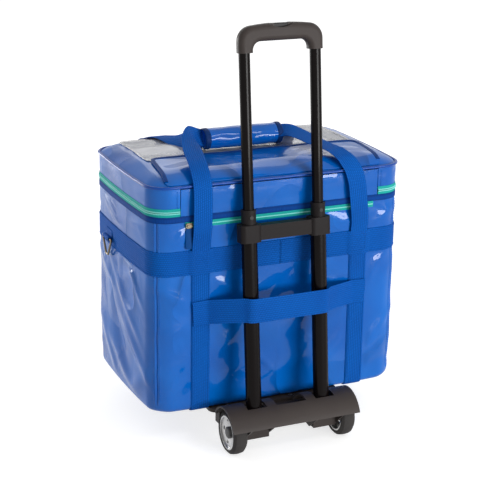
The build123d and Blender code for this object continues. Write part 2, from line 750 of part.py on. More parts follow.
for side, name in ((-1, "left"), (1, "right")):
    half = wheel_width / 2
    section = wheel_profile_plane(side)
    spin_axis = Axis(section.origin, (1, 0, 0))
    with BuildPart() as tyre:
        with BuildSketch(section):
            with BuildLine():
                tread_edge = (half - tread_inset, wheel_radius - tread_drop)
                tread = ThreePointArc((-tread_edge[0], tread_edge[1]), (0, wheel_radius), tread_edge)
                outer_side = Polyline(
                    tread @ 1,
                    (half, wheel_radius - shoulder_drop),
                    (half, rim_radius + 1.0),
                    (half - 1.0, rim_radius),
                )
                inner_side = Polyline(tread @ 0, (-half, wheel_radius - shoulder_drop), (-half, rim_radius))
                Line(inner_side @ 1, outer_side @ 1)
            make_face()
        revolve(axis=spin_axis)
    finish(tyre, f"{name}_tyre")
    with BuildPart() as hub:
        with BuildSketch(section):
            with BuildLine():
                Polyline(
                    (-half + 1.0, rim_radius),
                    (half - 1.0, rim_radius),
                    (half - 1.0, rim_radius - rim_wall),
                    (half - 1.0 - rim_step, rim_radius - rim_wall),
                    (hub_outer, cap_radius + 3.0),
                    (hub_outer, axle_radius + running),
                    (-half - 1.0, axle_radius + running),
                    (-half - 1.0, hub_radius),
                    (hub_outer - disc_thick - 1.0, hub_radius),
                    (hub_outer - disc_thick, cap_radius + 3.0),
                    (half - 1.0 - rim_step - disc_thick, rim_radius - rim_wall),
                    (-half + 1.0, rim_radius - rim_wall),
                    close=True,
                )
            make_face()
        revolve(axis=spin_axis)
        inner_face = section.origin - Vector(half, 0, 0)
        with BuildSketch(Plane(origin=inner_face, x_dir=(0, 1, 0), z_dir=(1, 0, 0))):
            with PolarLocations((cap_radius + rim_radius) / 2 + 1.0, slot_count):
                SlotOverall(slot_length, slot_width, rotation=90)
        extrude(amount=wheel_width, mode=Mode.SUBTRACT)
    finish(hub, f"{name}_hub")
    with BuildPart() as cap:
        with BuildSketch(section):
            with BuildLine():
                Polyline(
                    (hub_outer, nut_radius + air),
                    (hub_outer, cap_radius),
                    (half - cap_thick, cap_radius),
                    (half - 1.5, cap_radius - 2.0),
                    (half - 1.0, 0),
                    (half - 3.0, 0),
                    (half - cap_thick - 1.0, nut_radius + air),
                    close=True,
                )
            make_face()
        revolve(axis=spin_axis)
    finish(cap, f"{name}_cap")

# ------------------------------------------------------------------ toe plate
rib_height = 5.0
rib_width = 4.0
rib_near = beam_back + air
toe_far = toe_near + toe_length
leg_y = axle_y + toe_far - leg_inset
with BuildPart() as toe_plate:
    with BuildSketch(Plane.XY.offset(toe_bottom)):
        with Locations((trolley_x, axle_y + (toe_near + toe_far) / 2)):
            RectangleRounded(2 * toe_half, toe_length, toe_corner)
    extrude(amount=toe_thick)
    # stiffening ribs under the plate, behind the beam
    with BuildSketch(Plane.XY.offset(toe_bottom - rib_height)):
        for x in screw_xs:
            with Locations((trolley_x + x, axle_y + (rib_near + toe_far - toe_corner) / 2)):
                Rectangle(rib_width, toe_far - toe_corner - rib_near)
    extrude(amount=rib_height)
    # legs that level the plate with the wheels
    with BuildSketch(Plane.XY.offset(pad_thick)):
        with Locations((trolley_x - leg_x, leg_y), (trolley_x + leg_x, leg_y)):
            RectangleRounded(leg_size, leg_size, 3.0)
    extrude(amount=toe_bottom - pad_thick)
    with Locations(*[(trolley_x + x, axle_y + screw_y, toe_top) for x in screw_xs]):
        CounterSinkHole(toe_screw_radius, toe_screw_head, depth=toe_thick)
finish(toe_plate, "toe_plate")

with BuildPart() as toe_screws:
    with BuildSketch(Plane.XY.offset(toe_top - toe_screw_length)):
        with Locations(*[(trolley_x + x, axle_y + screw_y) for x in screw_xs]):
            Circle(toe_screw_radius)
    extrude(amount=toe_screw_length - toe_screw_sink / 2)
    for x in screw_xs:
        with Locations((trolley_x + x, axle_y + screw_y, toe_top - air)):
            Cone(toe_screw_radius, toe_screw_head - air, toe_screw_sink - air,
                 align=(Align.CENTER, Align.CENTER, Align.MAX))
finish(toe_screws, "toe_screws")

with BuildPart() as foot_pads:
    with BuildSketch():
        with Locations((trolley_x - leg_x, leg_y), (trolley_x + leg_x, leg_y)):
            RectangleRounded(leg_size + 3.0, leg_size + 3.0, 4.0)
    extrude(amount=pad_thick)
finish(foot_pads, "foot_pads")

# ================================================================== trolley: tubes, crossbar, handle
crossbar_stop = 2.0        # the lower tubes end against this much of the crossbar
lower_top = crossbar_high - crossbar_stop
for side, name in ((-1, "left"), (1, "right")):
    with BuildPart() as lower_tube:
        add(tubes(lower_radius, lower_radius - lower_wall, -foot_sunk, lower_top, (side,)))
    finish(lower_tube, f"lower_tube_{name}")

with BuildPart() as crossbar:
    with BuildSketch(across_tubes.offset(crossbar_low)):
        with Locations((-tube_x, 0), (tube_x, 0)):
            RectangleRounded(crossbar_block, crossbar_depth, crossbar_corner)
    extrude(amount=crossbar_high - crossbar_low)
    middle = (crossbar_low + crossbar_high) / 2
    with BuildSketch(across_tubes.offset(middle - crossbar_rib / 2)):
        Rectangle(tube_spacing, crossbar_rib_depth)
    extrude(amount=crossbar_rib)
    fillet(crossbar.faces().sort_by(Axis(tube_foot, tube_dir))[-1].edges(), 1.5)
    add(tubes(lower_radius, 0, crossbar_low, lower_top), mode=Mode.SUBTRACT)
    add(tubes(middle_radius + running, 0, lower_top, crossbar_high), mode=Mode.SUBTRACT)
finish(crossbar, "crossbar")

screw_radius = 3.6
screw_head = 2.4
with BuildPart() as crossbar_screws:
    with BuildSketch(front_of_tubes.offset(-crossbar_depth / 2)):
        with Locations((-tube_x, middle), (tube_x, middle)):
            Circle(screw_radius)
    extrude(amount=-screw_head)
    fillet(crossbar_screws.faces().sort_by(Axis.Y)[-2:].edges(), 1.0)
finish(crossbar_screws, "crossbar_screws")

collar_low = crossbar_high + collar_gap
collar_high = collar_low + collar_height
middle_top = collar_low + 2.0
spigot = 12.0              # the collar reaches this far down inside its tube
with BuildPart() as middle_tubes:
    add(tubes(middle_radius, middle_radius - middle_wall, middle_low, middle_top))
finish(middle_tubes, "middle_tubes")

lip_height = 3.0
lip_stand = 0.5
with BuildPart() as middle_collars:
    add(tubes(collar_radius, 0, collar_low, collar_high))
    add(tubes(collar_radius + lip_stand, 0, collar_high - lip_height, collar_high))
    add(tubes(middle_radius, 0, collar_low, middle_top), mode=Mode.SUBTRACT)
    add(tubes(middle_radius - middle_wall, 0, collar_low - spigot, middle_top))
    add(tubes(upper_radius + running, 0, collar_low - spigot, collar_high), mode=Mode.SUBTRACT)
finish(middle_collars, "middle_collars")

detent_radius = 3.0
detent_sunk = 0.6
detent_height = 1.4
with BuildPart() as collar_buttons:
    with BuildSketch(front_of_tubes.offset(collar_radius - detent_sunk)):
        with Locations((-tube_x, collar_low + collar_height / 2), (tube_x, collar_low + collar_height / 2)):
            Circle(detent_radius)
    extrude(amount=detent_height)
    add(middle_collars.part, mode=Mode.SUBTRACT)
finish(collar_buttons, "collar_buttons")

upper_low = collar_low - upper_overlap
chamber_floor = 6.0        # floor of the yoke's chamber above the grip bar's underside
upper_high = handle_high - handle_bar + chamber_floor
with BuildPart() as upper_tubes:
    add(tubes(upper_radius, upper_radius - upper_wall, upper_low, upper_high))
finish(upper_tubes, "upper_tubes")

bush_length = 22.0
bush_plug = 10.0
with BuildPart() as upper_bushes:
    add(tubes(middle_radius - middle_wall - running, 0, upper_low - bush_length, upper_low))
    add(tubes(upper_radius - upper_wall, 0, upper_low, upper_low + bush_plug))
    add(tubes(rod_radius + running, 0, upper_low - bush_length, upper_low + bush_plug), mode=Mode.SUBTRACT)
finish(upper_bushes, "upper_bushes")

# ------------------------------------------------------------------ pull handle with its release button
yoke_height = 7.0
yoke_depth = 9.0
chamber_low = handle_high - handle_bar + chamber_floor
chamber_high = chamber_low + button_travel + yoke_height + air
chamber_half = tube_x + rod_radius + 5 * air
handle_round = 9.0
shoulder = 24.0
throat = 13.0
with BuildPart() as pull_handle:
    with BuildSketch(front_of_tubes):
        with BuildLine():
            outer_half = handle_width / 2
            inner_half = outer_half - handle_leg
            side_top = handle_high - handle_crown
            crown = ThreePointArc((-outer_half, side_top), (0, handle_high), (outer_half, side_top))
            Line(crown @ 0, (-outer_half, handle_low))
            Line((-outer_half, handle_low), (-inner_half, handle_low))
            Line((-inner_half, handle_low), (-inner_half, handle_high - handle_bar))
            Line((-inner_half, handle_high - handle_bar), (inner_half, handle_high - handle_bar))
            Line((inner_half, handle_high - handle_bar), (inner_half, handle_low))
            Line((inner_half, handle_low), (outer_half, handle_low))
            Line((outer_half, handle_low), crown @ 1)
        make_face()
    extrude(amount=handle_depth / 2, both=True)
    along = Axis(tube_foot, tube_dir)
    upright = pull_handle.edges().filter_by(Axis(tube_foot, front_of_tubes.z_dir))
    outer_corners = upright.group_by(along)[-1]
    fillet(outer_corners, shoulder)
    upright = pull_handle.edges().filter_by(Axis(tube_foot, front_of_tubes.z_dir))
    throat_corners = upright.filter_by(
        lambda edge: abs(front_of_tubes.to_local_coords(edge.center()).Y - handle_high + handle_bar) < 0.1
    )
    fillet(throat_corners, throat)
    front_and_back = pull_handle.faces().filter_by(front_of_tubes)
    fillet(front_and_back.edges().filter_by(
        lambda edge: front_of_tubes.to_local_coords(edge.center()).Y > handle_low + 0.1
    ), handle_round)
    add(tubes(upper_radius, 0, handle_low, upper_high), mode=Mode.SUBTRACT)
    with BuildSketch(across_tubes.offset(chamber_low)):
        Rectangle(2 * chamber_half, yoke_depth + 2 * air)
    extrude(amount=chamber_high - chamber_low, mode=Mode.SUBTRACT)
    with BuildSketch(across_tubes.offset(chamber_low)):
        SlotOverall(button_length + 2 * air, button_width + 2 * air)
    extrude(amount=handle_bar + handle_crown, mode=Mode.SUBTRACT)
    scoop_radius = (scoop_half ** 2 + scoop_drop ** 2) / (2 * scoop_drop)
    with BuildSketch(front_of_tubes.offset(button_width / 2 + air)):
        with Locations((0, handle_high + scoop_radius - scoop_drop)):
            Circle(scoop_radius)
    extrude(amount=handle_depth, mode=Mode.SUBTRACT)
finish(pull_handle, "pull_handle")

yoke_low = chamber_low + button_travel
yoke_top = yoke_low + yoke_height
with BuildPart() as release_yoke:
    with BuildSketch(across_tubes.offset(yoke_low)):
        Rectangle(2 * (chamber_half - air), yoke_depth)
    extrude(amount=yoke_height)
    add(tubes(rod_radius, 0, upper_low - bush_length + button_travel, yoke_low))
finish(release_yoke, "release_yoke")

with BuildPart() as release_button:
    with BuildSketch(across_tubes.offset(yoke_top)):
        SlotOverall(button_length, button_width)
    extrude(amount=handle_high - 2 * air - yoke_top)
    fillet(release_button.faces().sort_by(along)[-1].edges(), 1.5)
finish(release_button, "release_button")

spring_radius = 2.6
spring_wire = 0.4
spring_turns = 4
spring_pitch = (button_travel - 2 * spring_wire) / spring_turns
spring_foot = Plane(origin=across_tubes.origin + tube_dir * (chamber_low + spring_wire), z_dir=tube_dir)
with BuildPart() as button_spring:
    with BuildLine() as coil:
        Helix(
            spring_pitch,
            spring_pitch * spring_turns,
            spring_radius,
            center=spring_foot.origin,
            direction=tube_dir,
        )
    with BuildSketch(Plane(origin=coil.wire() @ 0, z_dir=coil.wire() % 0)):
        Circle(spring_wire / 2)
    sweep(path=coil.wire(), is_frenet=True)
finish(button_spring, "button_spring")
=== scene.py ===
# %% [markdown]
# # A wheeled isothermal bag, dressed on its CAD frame
#
# The real object is a soft insulated bag of glossy coated tarpaulin, strapped to a black
# telescopic trolley. The trolley's hard parts come straight from the CAD frame and only get
# finishes. Everything sewn is made here: walls, lid, webbing, zips, grip and window are surfaces
# worked out with numpy on grids of two parameters, so each one follows the same bag plan.

# %% Load the CAD frame
import bpy
import math
import numpy as np
from mathutils import Matrix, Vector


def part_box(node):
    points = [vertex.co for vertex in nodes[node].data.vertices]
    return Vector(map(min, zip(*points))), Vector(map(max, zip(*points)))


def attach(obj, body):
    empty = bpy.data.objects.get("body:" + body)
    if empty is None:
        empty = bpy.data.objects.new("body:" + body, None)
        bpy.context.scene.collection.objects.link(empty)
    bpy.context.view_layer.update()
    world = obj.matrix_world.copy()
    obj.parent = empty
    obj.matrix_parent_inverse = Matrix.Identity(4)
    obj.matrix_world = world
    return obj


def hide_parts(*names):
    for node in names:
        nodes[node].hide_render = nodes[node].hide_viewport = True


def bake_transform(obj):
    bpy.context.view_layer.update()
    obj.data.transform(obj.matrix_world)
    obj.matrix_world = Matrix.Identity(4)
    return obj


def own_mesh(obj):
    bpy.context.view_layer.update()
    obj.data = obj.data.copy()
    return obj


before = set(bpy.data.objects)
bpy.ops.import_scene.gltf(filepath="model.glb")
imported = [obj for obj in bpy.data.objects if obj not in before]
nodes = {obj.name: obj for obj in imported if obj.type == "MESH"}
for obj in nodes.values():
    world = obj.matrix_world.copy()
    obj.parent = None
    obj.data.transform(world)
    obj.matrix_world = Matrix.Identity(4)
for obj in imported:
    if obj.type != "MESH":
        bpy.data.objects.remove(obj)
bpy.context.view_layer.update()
MM = 0.001

# %% [markdown]
# ## The bag's sizes
#
# All shapes below are worked out in millimetres and turned into metres when a mesh is made.
# The numbers repeat the CAD source, because this file can't read it. What the CAD model can tell,
# such as where the near wall stands, is read from a node's box.

# %% Sizes in millimetres
half_width = 215.0
bag_depth = 276.0
near_bow, far_bow, side_bow = 1.5, 5.0, 5.0
near_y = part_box("body_shell")[0].y / MM + near_bow
far_y = near_y + bag_depth
mid_y = near_y + bag_depth / 2
bag_bottom, piping_z, zip_z = 58.0, 430.0, 391.0
corner_radius, bottom_radius = 32.0, 9.0
webbing = 1.6
strap_x, strap_width = 137.5, 31.0
belt_bottom, belt_top = 288.5, 328.5
band_low, band_high = 374.5, 384.5
lid_zip_end = 170.0
trolley_x = -7.0
print("near wall", round(near_y, 2), "far wall", round(far_y, 2))

# %% [markdown]
# ## The plan of the bag
#
# Every strap, zip and wall runs round the same outline: a rectangle with round corners whose sides
# bow out a little. The outline is kept as a table of points against the distance walked along it,
# starting at the middle of the near wall and going towards +X. Any piece can then ask for the
# place and the outward direction at any distance.

# %% The plan as a table


def plan_table(steps=240):
    """Four straights and four quarter circles, then each side pushed out by a parabola.

    The push is bow * (1 - (along / half side)^2), scaled down to nothing towards the corners."""
    x_end = half_width - corner_radius
    y_end = bag_depth / 2 - corner_radius
    ramp = np.linspace(0, 1, steps, endpoint=False)
    turn = ramp * math.pi / 2
    parts = [(ramp * x_end, -bag_depth / 2 + 0 * ramp)]
    corners = [(x_end, -y_end, -90), (x_end, y_end, 0), (-x_end, y_end, 90), (-x_end, -y_end, 180)]
    for (cx, cy, start), straight in zip(corners, ("right", "far", "left", "near")):
        angle = turn + math.radians(start)
        parts.append((cx + corner_radius * np.cos(angle), cy + corner_radius * np.sin(angle)))
        if straight == "right":
            parts.append((half_width + 0 * ramp, -y_end + 2 * y_end * ramp))
        elif straight == "far":
            parts.append((x_end - 2 * x_end * ramp, bag_depth / 2 + 0 * ramp))
        elif straight == "left":
            parts.append((-half_width + 0 * ramp, y_end - 2 * y_end * ramp))
        else:
            parts.append((-x_end + x_end * ramp, -bag_depth / 2 + 0 * ramp))
    x = np.concatenate([p[0] for p in parts])
    y = np.concatenate([p[1] for p in parts])
    across = y / (bag_depth / 2)
    x = x + side_bow * (x / half_width) * (1 - across ** 2)
    y = y + np.where(y > 0, far_bow, near_bow) * across * (1 - (x / half_width).clip(-1, 1) ** 2)
    step = np.hypot(np.diff(x, append=x[0]), np.diff(y, append=y[0]))
    walked = np.concatenate([[0], np.cumsum(step)])
    dx = (np.roll(x, -1) - np.roll(x, 1))
    dy = (np.roll(y, -1) - np.roll(y, 1))
    length = np.hypot(dx, dy)
    return walked[:-1], walked[-1], x, y + mid_y, dy / length, -dx / length


plan_s, perimeter, plan_x, plan_y, plan_nx, plan_ny = plan_table()
print("walk round the bag", round(perimeter, 1), "mm")


def plan(s):
    """Place and outward direction on the plan at distance s, read off the table by interpolation."""
    s = np.asarray(s, float)
    return [np.interp(s, plan_s, column, period=perimeter) for column in (plan_x, plan_y, plan_nx, plan_ny)]


def near_s(x):
    """Distance along the plan to the near wall at a given X, because the walk starts at its middle."""
    return np.asarray(x, float)


def far_s(x):
    """Distance to the far wall at a given X: half way round, then back."""
    return perimeter / 2 - np.asarray(x, float)


side_s = perimeter / 4

# %% [markdown]
# ## How the walls swell and fold
#
# A tarpaulin wall isn't flat. Between the belt and the bottom it swells a little, and where the
# insulation pushes it, long shallow folds run across it. Each fold is a stretched bell: high along
# a short line and falling off quickly to the sides. Straps and the belt press the walls flat, so
# the folds are faded out under them.

# %% Folds, swelling and the wall itself
folds = np.array([
    # distance along the plan, height, slope in degrees, half length, half width, how far it stands out
    (-180, 252, -34, 40, 8.0, 1.25), (-100, 268, -34, 42, 7.5, 1.25), (-182, 196, 20, 36, 8, 1.1),
    (-96, 170, 40, 40, 9, 1.3), (166, 256, 58, 38, 7, 1.2), (-178, 138, 24, 38, 9, 1.2),
    (98, 140, 44, 40, 8, 1.2), (-88, 112, 30, 34, 9, 1.2), (176, 150, 48, 44, 8, 1.3),
    (-185, 92, 30, 34, 8, 1.1), (186, 350, 30, 24, 6, 0.9), (-172, 348, 52, 22, 7, 1.2),
    (100, 352, -24, 30, 6, 0.8), (0, 110, 24, 60, 12, 1.2), (30, 190, 30, 50, 10, 1.1),
    (-60, 240, 30, 40, 9, 1.1), (104, 215, 40, 40, 9, 1.2), (160, 100, 36, 40, 8, 1.1),
    (-339 + 20, 222, -38, 74, 8, 2.1), (-339 - 34, 176, -44, 66, 11, -2.0), (-339 + 58, 158, -34, 60, 9, 1.9),
    (-339 - 64, 250, -30, 46, 9, 1.9), (-339 + 66, 262, -42, 34, 6, 1.6), (-339 - 8, 112, -30, 80, 12, 1.9),
    (-339 - 66, 118, -48, 54, 10, 1.7), (-339 + 74, 92, 34, 34, 10, 1.3), (-339 - 30, 350, -20, 40, 8, 1.3),
    (339 - 20, 218, -8, 60, 9, 2.0), (339 + 35, 160, 20, 44, 11, 1.8), (339 - 50, 120, -28, 44, 10, 1.6),
    (339 + 60, 250, -26, 36, 8, 1.4), (339 - 10, 95, 8, 50, 12, 1.2),
    (perimeter / 2, 220, 8, 70, 12, 1.6), (perimeter / 2 + 70, 150, -24, 60, 12, 1.8),
    (perimeter / 2 - 80, 130, 22, 60, 12, 1.8), (perimeter / 2 + 10, 350, 4, 70, 7, 0.8),
    (perimeter / 2 - 180, 240, 50, 30, 8, 1.4), (perimeter / 2 + 180, 240, -50, 30, 8, 1.4),
])
chance = np.random.default_rng(11)
small_count = 130
small_folds = np.stack([
    chance.uniform(0, perimeter, small_count), chance.uniform(80, 425, small_count),
    chance.uniform(-75, 75, small_count), chance.uniform(14, 44, small_count),
    chance.uniform(3.2, 8.0, small_count), chance.uniform(0.4, 1.2, small_count) * chance.choice([1, 1, -1], small_count),
], -1)
folds = np.concatenate([folds * [1, 1, 1, 1.1, 1.25, 2.2], small_folds])


def bells(s, z, table):
    """Sum of stretched bells: out * exp(-(along / length)^2 - (across / width)^2), each turned by its slope."""
    total = np.zeros(np.broadcast(s, z).shape)
    for fold_s, fold_z, slope, length, width, out in table:
        ds = (s - fold_s + perimeter / 2) % perimeter - perimeter / 2
        dz = z - fold_z
        c, k = math.cos(math.radians(slope)), math.sin(math.radians(slope))
        along = (ds * c + dz * k) / length
        across = (-ds * k + dz * c) / width + 0.25 * along ** 2
        total = total + out * np.exp(-along ** 2 - across ** 2)
    return total


def smooth_step(low, high, value):
    """0 below low, 1 above high, and the cubic 3t^2 - 2t^3 between."""
    t = ((value - low) / (high - low)).clip(0, 1)
    return t * t * (3 - 2 * t)


def flatness(x, y, nx, ny):
    """1 in the middle of a side and 0 at its ends: 1 - (position / half side)^4 of the side it faces."""
    along_x = (1 - (x / half_width) ** 4).clip(0, 1)
    along_y = (1 - ((y - mid_y) / (bag_depth / 2)) ** 4).clip(0, 1)
    return along_x * ny ** 2 + along_y * nx ** 2


def pressed(x, y, ny, z):
    """1 on free cloth and 0 under webbing: smooth steps away from the belt, the bands and the straps."""
    belt_free = smooth_step(3, 15, np.abs(z - (belt_bottom + belt_top) / 2) - (belt_top - belt_bottom) / 2)
    band_free = smooth_step(2, 14, np.abs(z - zip_z) - 17)
    strap_free = smooth_step(1, 14, np.abs(np.abs(x) - strap_x) - strap_width / 2)
    strap_free = np.where((np.abs(ny) > 0.7) & (z < belt_top), strap_free, 1)
    foot_free = smooth_step(4, 26, z - bag_bottom)
    head_free = smooth_step(1, 12, np.abs(z - piping_z))
    return belt_free * band_free * strap_free * foot_free * head_free


def swell(s, z):
    """Outward push of the wall at distance s and height z: a low arch below the belt, plus the folds."""
    s, z = np.broadcast_arrays(np.asarray(s, float), np.asarray(z, float))
    x, y, nx, ny = plan(s)
    flat = flatness(x, y, nx, ny)
    below = np.sin(math.pi * ((z - bag_bottom) / (belt_bottom - bag_bottom)).clip(0, 1))
    above = np.sin(math.pi * ((z - belt_top) / (band_low - belt_top)).clip(0, 1))
    head = np.sin(math.pi * ((z - zip_z - 7) / (piping_z - zip_z - 7)).clip(0, 1))
    reach = np.where(ny < -0.7, 0.6, 2.4)
    ripple = 0.35 * np.sin(s / 17 + z / 31) * np.sin(z / 13 - s / 41) + 0.3 * np.sin(s / 29 - z / 19 + 1.7)
    free = pressed(x, y, ny, z)
    return flat * (reach * below + 0.9 * above + 0.8 * head) + free * (bells(s, z, folds) + ripple)


def wall(s, z, stand=0.0):
    """A point of the wall: the plan at s, moved outward by the swelling and by stand, at height z."""
    s, z = np.broadcast_arrays(np.asarray(s, float), np.asarray(z, float))
    x, y, nx, ny = plan(s)
    out = swell(s, z) + stand
    return np.stack([x + nx * out, y + ny * out, z], -1)


print("largest swell on the near wall", round(float(swell(*np.meshgrid(np.arange(-180, 181, 4.0), np.arange(60, 290, 4.0))).max()), 2))

# %% [markdown]
# ## From a grid of points to a mesh
#
# One helper turns an array of rows and columns into a mesh. Rows or columns can close on
# themselves, and the first and last row or column can be closed with a flat cap. The corner order
# makes faces point out when columns run counterclockwise seen from above and rows climb.
# A second helper carries a flat profile along a line: that is how all webbing is made.

# %% Grid and ribbon helpers


def grid_mesh(name, points, body, material, close_rows=False, close_columns=False, cap_rows=False,
              cap_columns=False, uv=None, sharp=38, flip=False):
    """Quads between neighbours of a (rows, columns, 3) array in millimetres, with optional end caps."""
    rows, columns = points.shape[:2]
    index = np.arange(rows * columns).reshape(rows, columns)
    r = np.arange(rows if close_rows else rows - 1)
    c = np.arange(columns if close_columns else columns - 1)
    r_next, c_next = (r + 1) % rows, (c + 1) % columns
    quads = np.stack([
        index[np.ix_(r, c)], index[np.ix_(r, c_next)], index[np.ix_(r_next, c_next)], index[np.ix_(r_next, c)],
    ], -1).reshape(-1, 4)
    faces = quads.tolist()
    if cap_rows:
        faces += [index[0, ::-1].tolist(), index[-1].tolist()]
    if cap_columns:
        faces += [index[:, 0].tolist(), index[::-1, -1].tolist()]
    if flip:
        faces = [face[::-1] for face in faces]
    mesh = bpy.data.meshes.new(name)
    mesh.from_pydata((points.reshape(-1, 3) * MM).tolist(), [], faces)
    if uv is not None:
        layer = mesh.uv_layers.new(name="UVMap")
        vertex = np.zeros(len(mesh.loops), int)
        mesh.loops.foreach_get("vertex_index", vertex)
        layer.data.foreach_set("uv", (uv.reshape(-1, 2)[vertex] * MM).astype(np.float32).ravel())
    mesh.validate()
    mesh.shade_smooth()
    mesh.set_sharp_from_angle(angle=math.radians(sharp))
    piece = bpy.data.objects.new(name, mesh)
    bpy.context.scene.collection.objects.link(piece)
    mesh.materials.append(material)
    if body:
        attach(piece, body)
    return piece


def unit(v):
    """Each vector divided by its length."""
    return v / np.linalg.norm(v, axis=-1, keepdims=True).clip(1e-9)


def walk(points):
    """Distance walked along a line of points, from 0."""
    return np.concatenate([[0], np.cumsum(np.linalg.norm(np.diff(points, axis=0), axis=1))])


def resample(points, count, smooth=0):
    """Evenly spaced points on a polyline, rounded by averaging each with its neighbours."""
    points = np.asarray(points, float)
    at = walk(points)
    fine = np.linspace(0, at[-1], count)
    line = np.stack([np.interp(fine, at, points[:, k]) for k in range(3)], -1)
    for _ in range(smooth):
        line[1:-1] = (line[:-2] + 2 * line[1:-1] + line[2:]) / 4
    return line


def flat_profile(width, thick):
    """Flattened oval, counterclockwise: |x|^8 + |y|^2.6 = 1 scaled to the webbing's width and thickness."""
    angle = np.linspace(0, 2 * math.pi, 22, endpoint=False) + 0.01
    x = np.sign(np.cos(angle)) * np.abs(np.cos(angle)) ** 0.3
    y = np.sign(np.sin(angle)) * np.abs(np.sin(angle)) ** 0.7
    return np.stack([x * width / 2, y * thick / 2], -1)


def ribbon(name, line, across, width, thick, body, material, closed=False, profile=None):
    """Profile carried along a line: point = line + across * x + outward * y, where outward is square to both."""
    if closed:
        along = unit(np.roll(line, -1, 0) - np.roll(line, 1, 0))
    else:
        along = unit(np.gradient(line, axis=0))
    across = unit(across - (across * along).sum(-1, keepdims=True) * along)
    outward = np.cross(along, across)
    shape = flat_profile(width, thick) if profile is None else profile
    points = line[:, None] + across[:, None] * shape[None, :, :1] + outward[:, None] * shape[None, :, 1:]
    steps = np.linalg.norm(np.roll(line, -1, 0) - line, axis=1)
    distance = np.concatenate([[0], np.cumsum(steps)])[:len(line)]
    uv = np.stack(np.broadcast_arrays(distance[:, None], shape[None, :, 0] + width / 2), -1)
    return grid_mesh(name, points, body, material, close_rows=closed, close_columns=True,
                     cap_rows=not closed, uv=uv)


print("helpers ready")

# %% [markdown]
# ## Shared effects
#
# Four effects come back in many finishes, so each is a shader node group placed where it is
# needed. *Surface drift* gives slow changes of tone and roughness and a fine relief. *Plain weave*
# gives the over-and-under relief of webbing from the piece's own UV map, and a mask of the gaps
# between threads, where the finishes paint shade. *Edge wear* finds edges by
# comparing the shading normal with a bevelled one. *Crumpled creases* raises ridges where a noise
# crosses its middle value, and only in patches. The shaders stay in the materials.

# %% Node groups


def link_up(tree, *pairs):
    """Joins each pair of sockets."""
    for source, target in pairs:
        tree.links.new(source, target)


def math_node(tree, operation, *values, clamp=False):
    """Math node whose inputs are sockets or numbers; gives its output socket."""
    node = tree.nodes.new("ShaderNodeMath")
    node.operation = operation
    node.use_clamp = clamp
    for socket, value in zip(node.inputs, values):
        if isinstance(value, (int, float)):
            socket.default_value = value
        else:
            tree.links.new(value, socket)
    return node.outputs[0]


def new_group(name, inputs, outputs):
    """Empty node group with named inputs (name, kind, value) and outputs (name, kind)."""
    group = bpy.data.node_groups.new(name, "ShaderNodeTree")
    for title, kind, value in inputs:
        socket = group.interface.new_socket(title, in_out="INPUT", socket_type=kind)
        if value is not None:
            socket.default_value = value
    for title, kind in outputs:
        group.interface.new_socket(title, in_out="OUTPUT", socket_type=kind)
    return group, group.nodes.new("NodeGroupInput"), group.nodes.new("NodeGroupOutput")


drift_group, drift_in, drift_out = new_group(
    "Surface drift",
    [("Position", "NodeSocketVector", None), ("Grain per metre", "NodeSocketFloat", 400.0),
     ("Patch per metre", "NodeSocketFloat", 12.0), ("Roughness", "NodeSocketFloat", 0.5),
     ("Roughness spread", "NodeSocketFloat", 0.1)],
    [("Tone", "NodeSocketFloat"), ("Roughness", "NodeSocketFloat"), ("Height", "NodeSocketFloat")],
)
grain = drift_group.nodes.new("ShaderNodeTexNoise")
grain.inputs["Detail"].default_value = 3.0
patch = drift_group.nodes.new("ShaderNodeTexNoise")
patch.inputs["Detail"].default_value = 2.0
link_up(
    drift_group,
    (drift_in.outputs["Position"], grain.inputs["Vector"]),
    (drift_in.outputs["Grain per metre"], grain.inputs["Scale"]),
    (drift_in.outputs["Position"], patch.inputs["Vector"]),
    (drift_in.outputs["Patch per metre"], patch.inputs["Scale"]),
    (grain.outputs[0], drift_out.inputs["Height"]),
)
both = math_node(drift_group, "ADD", math_node(drift_group, "MULTIPLY", patch.outputs[0], 1.6),
                 math_node(drift_group, "MULTIPLY", grain.outputs[0], 0.4))
tone = math_node(drift_group, "SUBTRACT", both, 0.5, clamp=True)
off_middle = math_node(drift_group, "SUBTRACT", tone, 0.5)
spread = math_node(drift_group, "MULTIPLY", off_middle, drift_in.outputs["Roughness spread"])
link_up(
    drift_group,
    (tone, drift_out.inputs["Tone"]),
    (math_node(drift_group, "ADD", spread, drift_in.outputs["Roughness"], clamp=True), drift_out.inputs["Roughness"]),
)

weave_group, weave_in, weave_out = new_group(
    "Plain weave",
    [("UV", "NodeSocketVector", None), ("Rows per metre", "NodeSocketFloat", 700.0),
     ("Threads per metre", "NodeSocketFloat", 500.0)],
    [("Height", "NodeSocketFloat"), ("Painted gap shade", "NodeSocketFloat")],
)
split = weave_group.nodes.new("ShaderNodeSeparateXYZ")
weave_group.links.new(weave_in.outputs["UV"], split.inputs[0])
row = math_node(weave_group, "MULTIPLY", split.outputs[0], weave_in.outputs["Rows per metre"])
thread = math_node(weave_group, "MULTIPLY", split.outputs[1], weave_in.outputs["Threads per metre"])
odd = math_node(weave_group, "MULTIPLY", math_node(weave_group, "FLOOR", thread), 0.5)
over = math_node(weave_group, "ABSOLUTE", math_node(
    weave_group, "SINE", math_node(weave_group, "MULTIPLY", math_node(weave_group, "ADD", row, odd), math.pi)))
rib = math_node(weave_group, "ABSOLUTE", math_node(
    weave_group, "SINE", math_node(weave_group, "MULTIPLY", thread, math.pi)))
height = math_node(weave_group, "MULTIPLY", math_node(weave_group, "POWER", over, 0.5),
                   math_node(weave_group, "POWER", rib, 0.4))
# The gap output is 1 - height: the mask where the finishes paint shade between the threads.
link_up(weave_group, (height, weave_out.inputs["Height"]),
        (math_node(weave_group, "SUBTRACT", 1.0, height, clamp=True), weave_out.inputs["Painted gap shade"]))

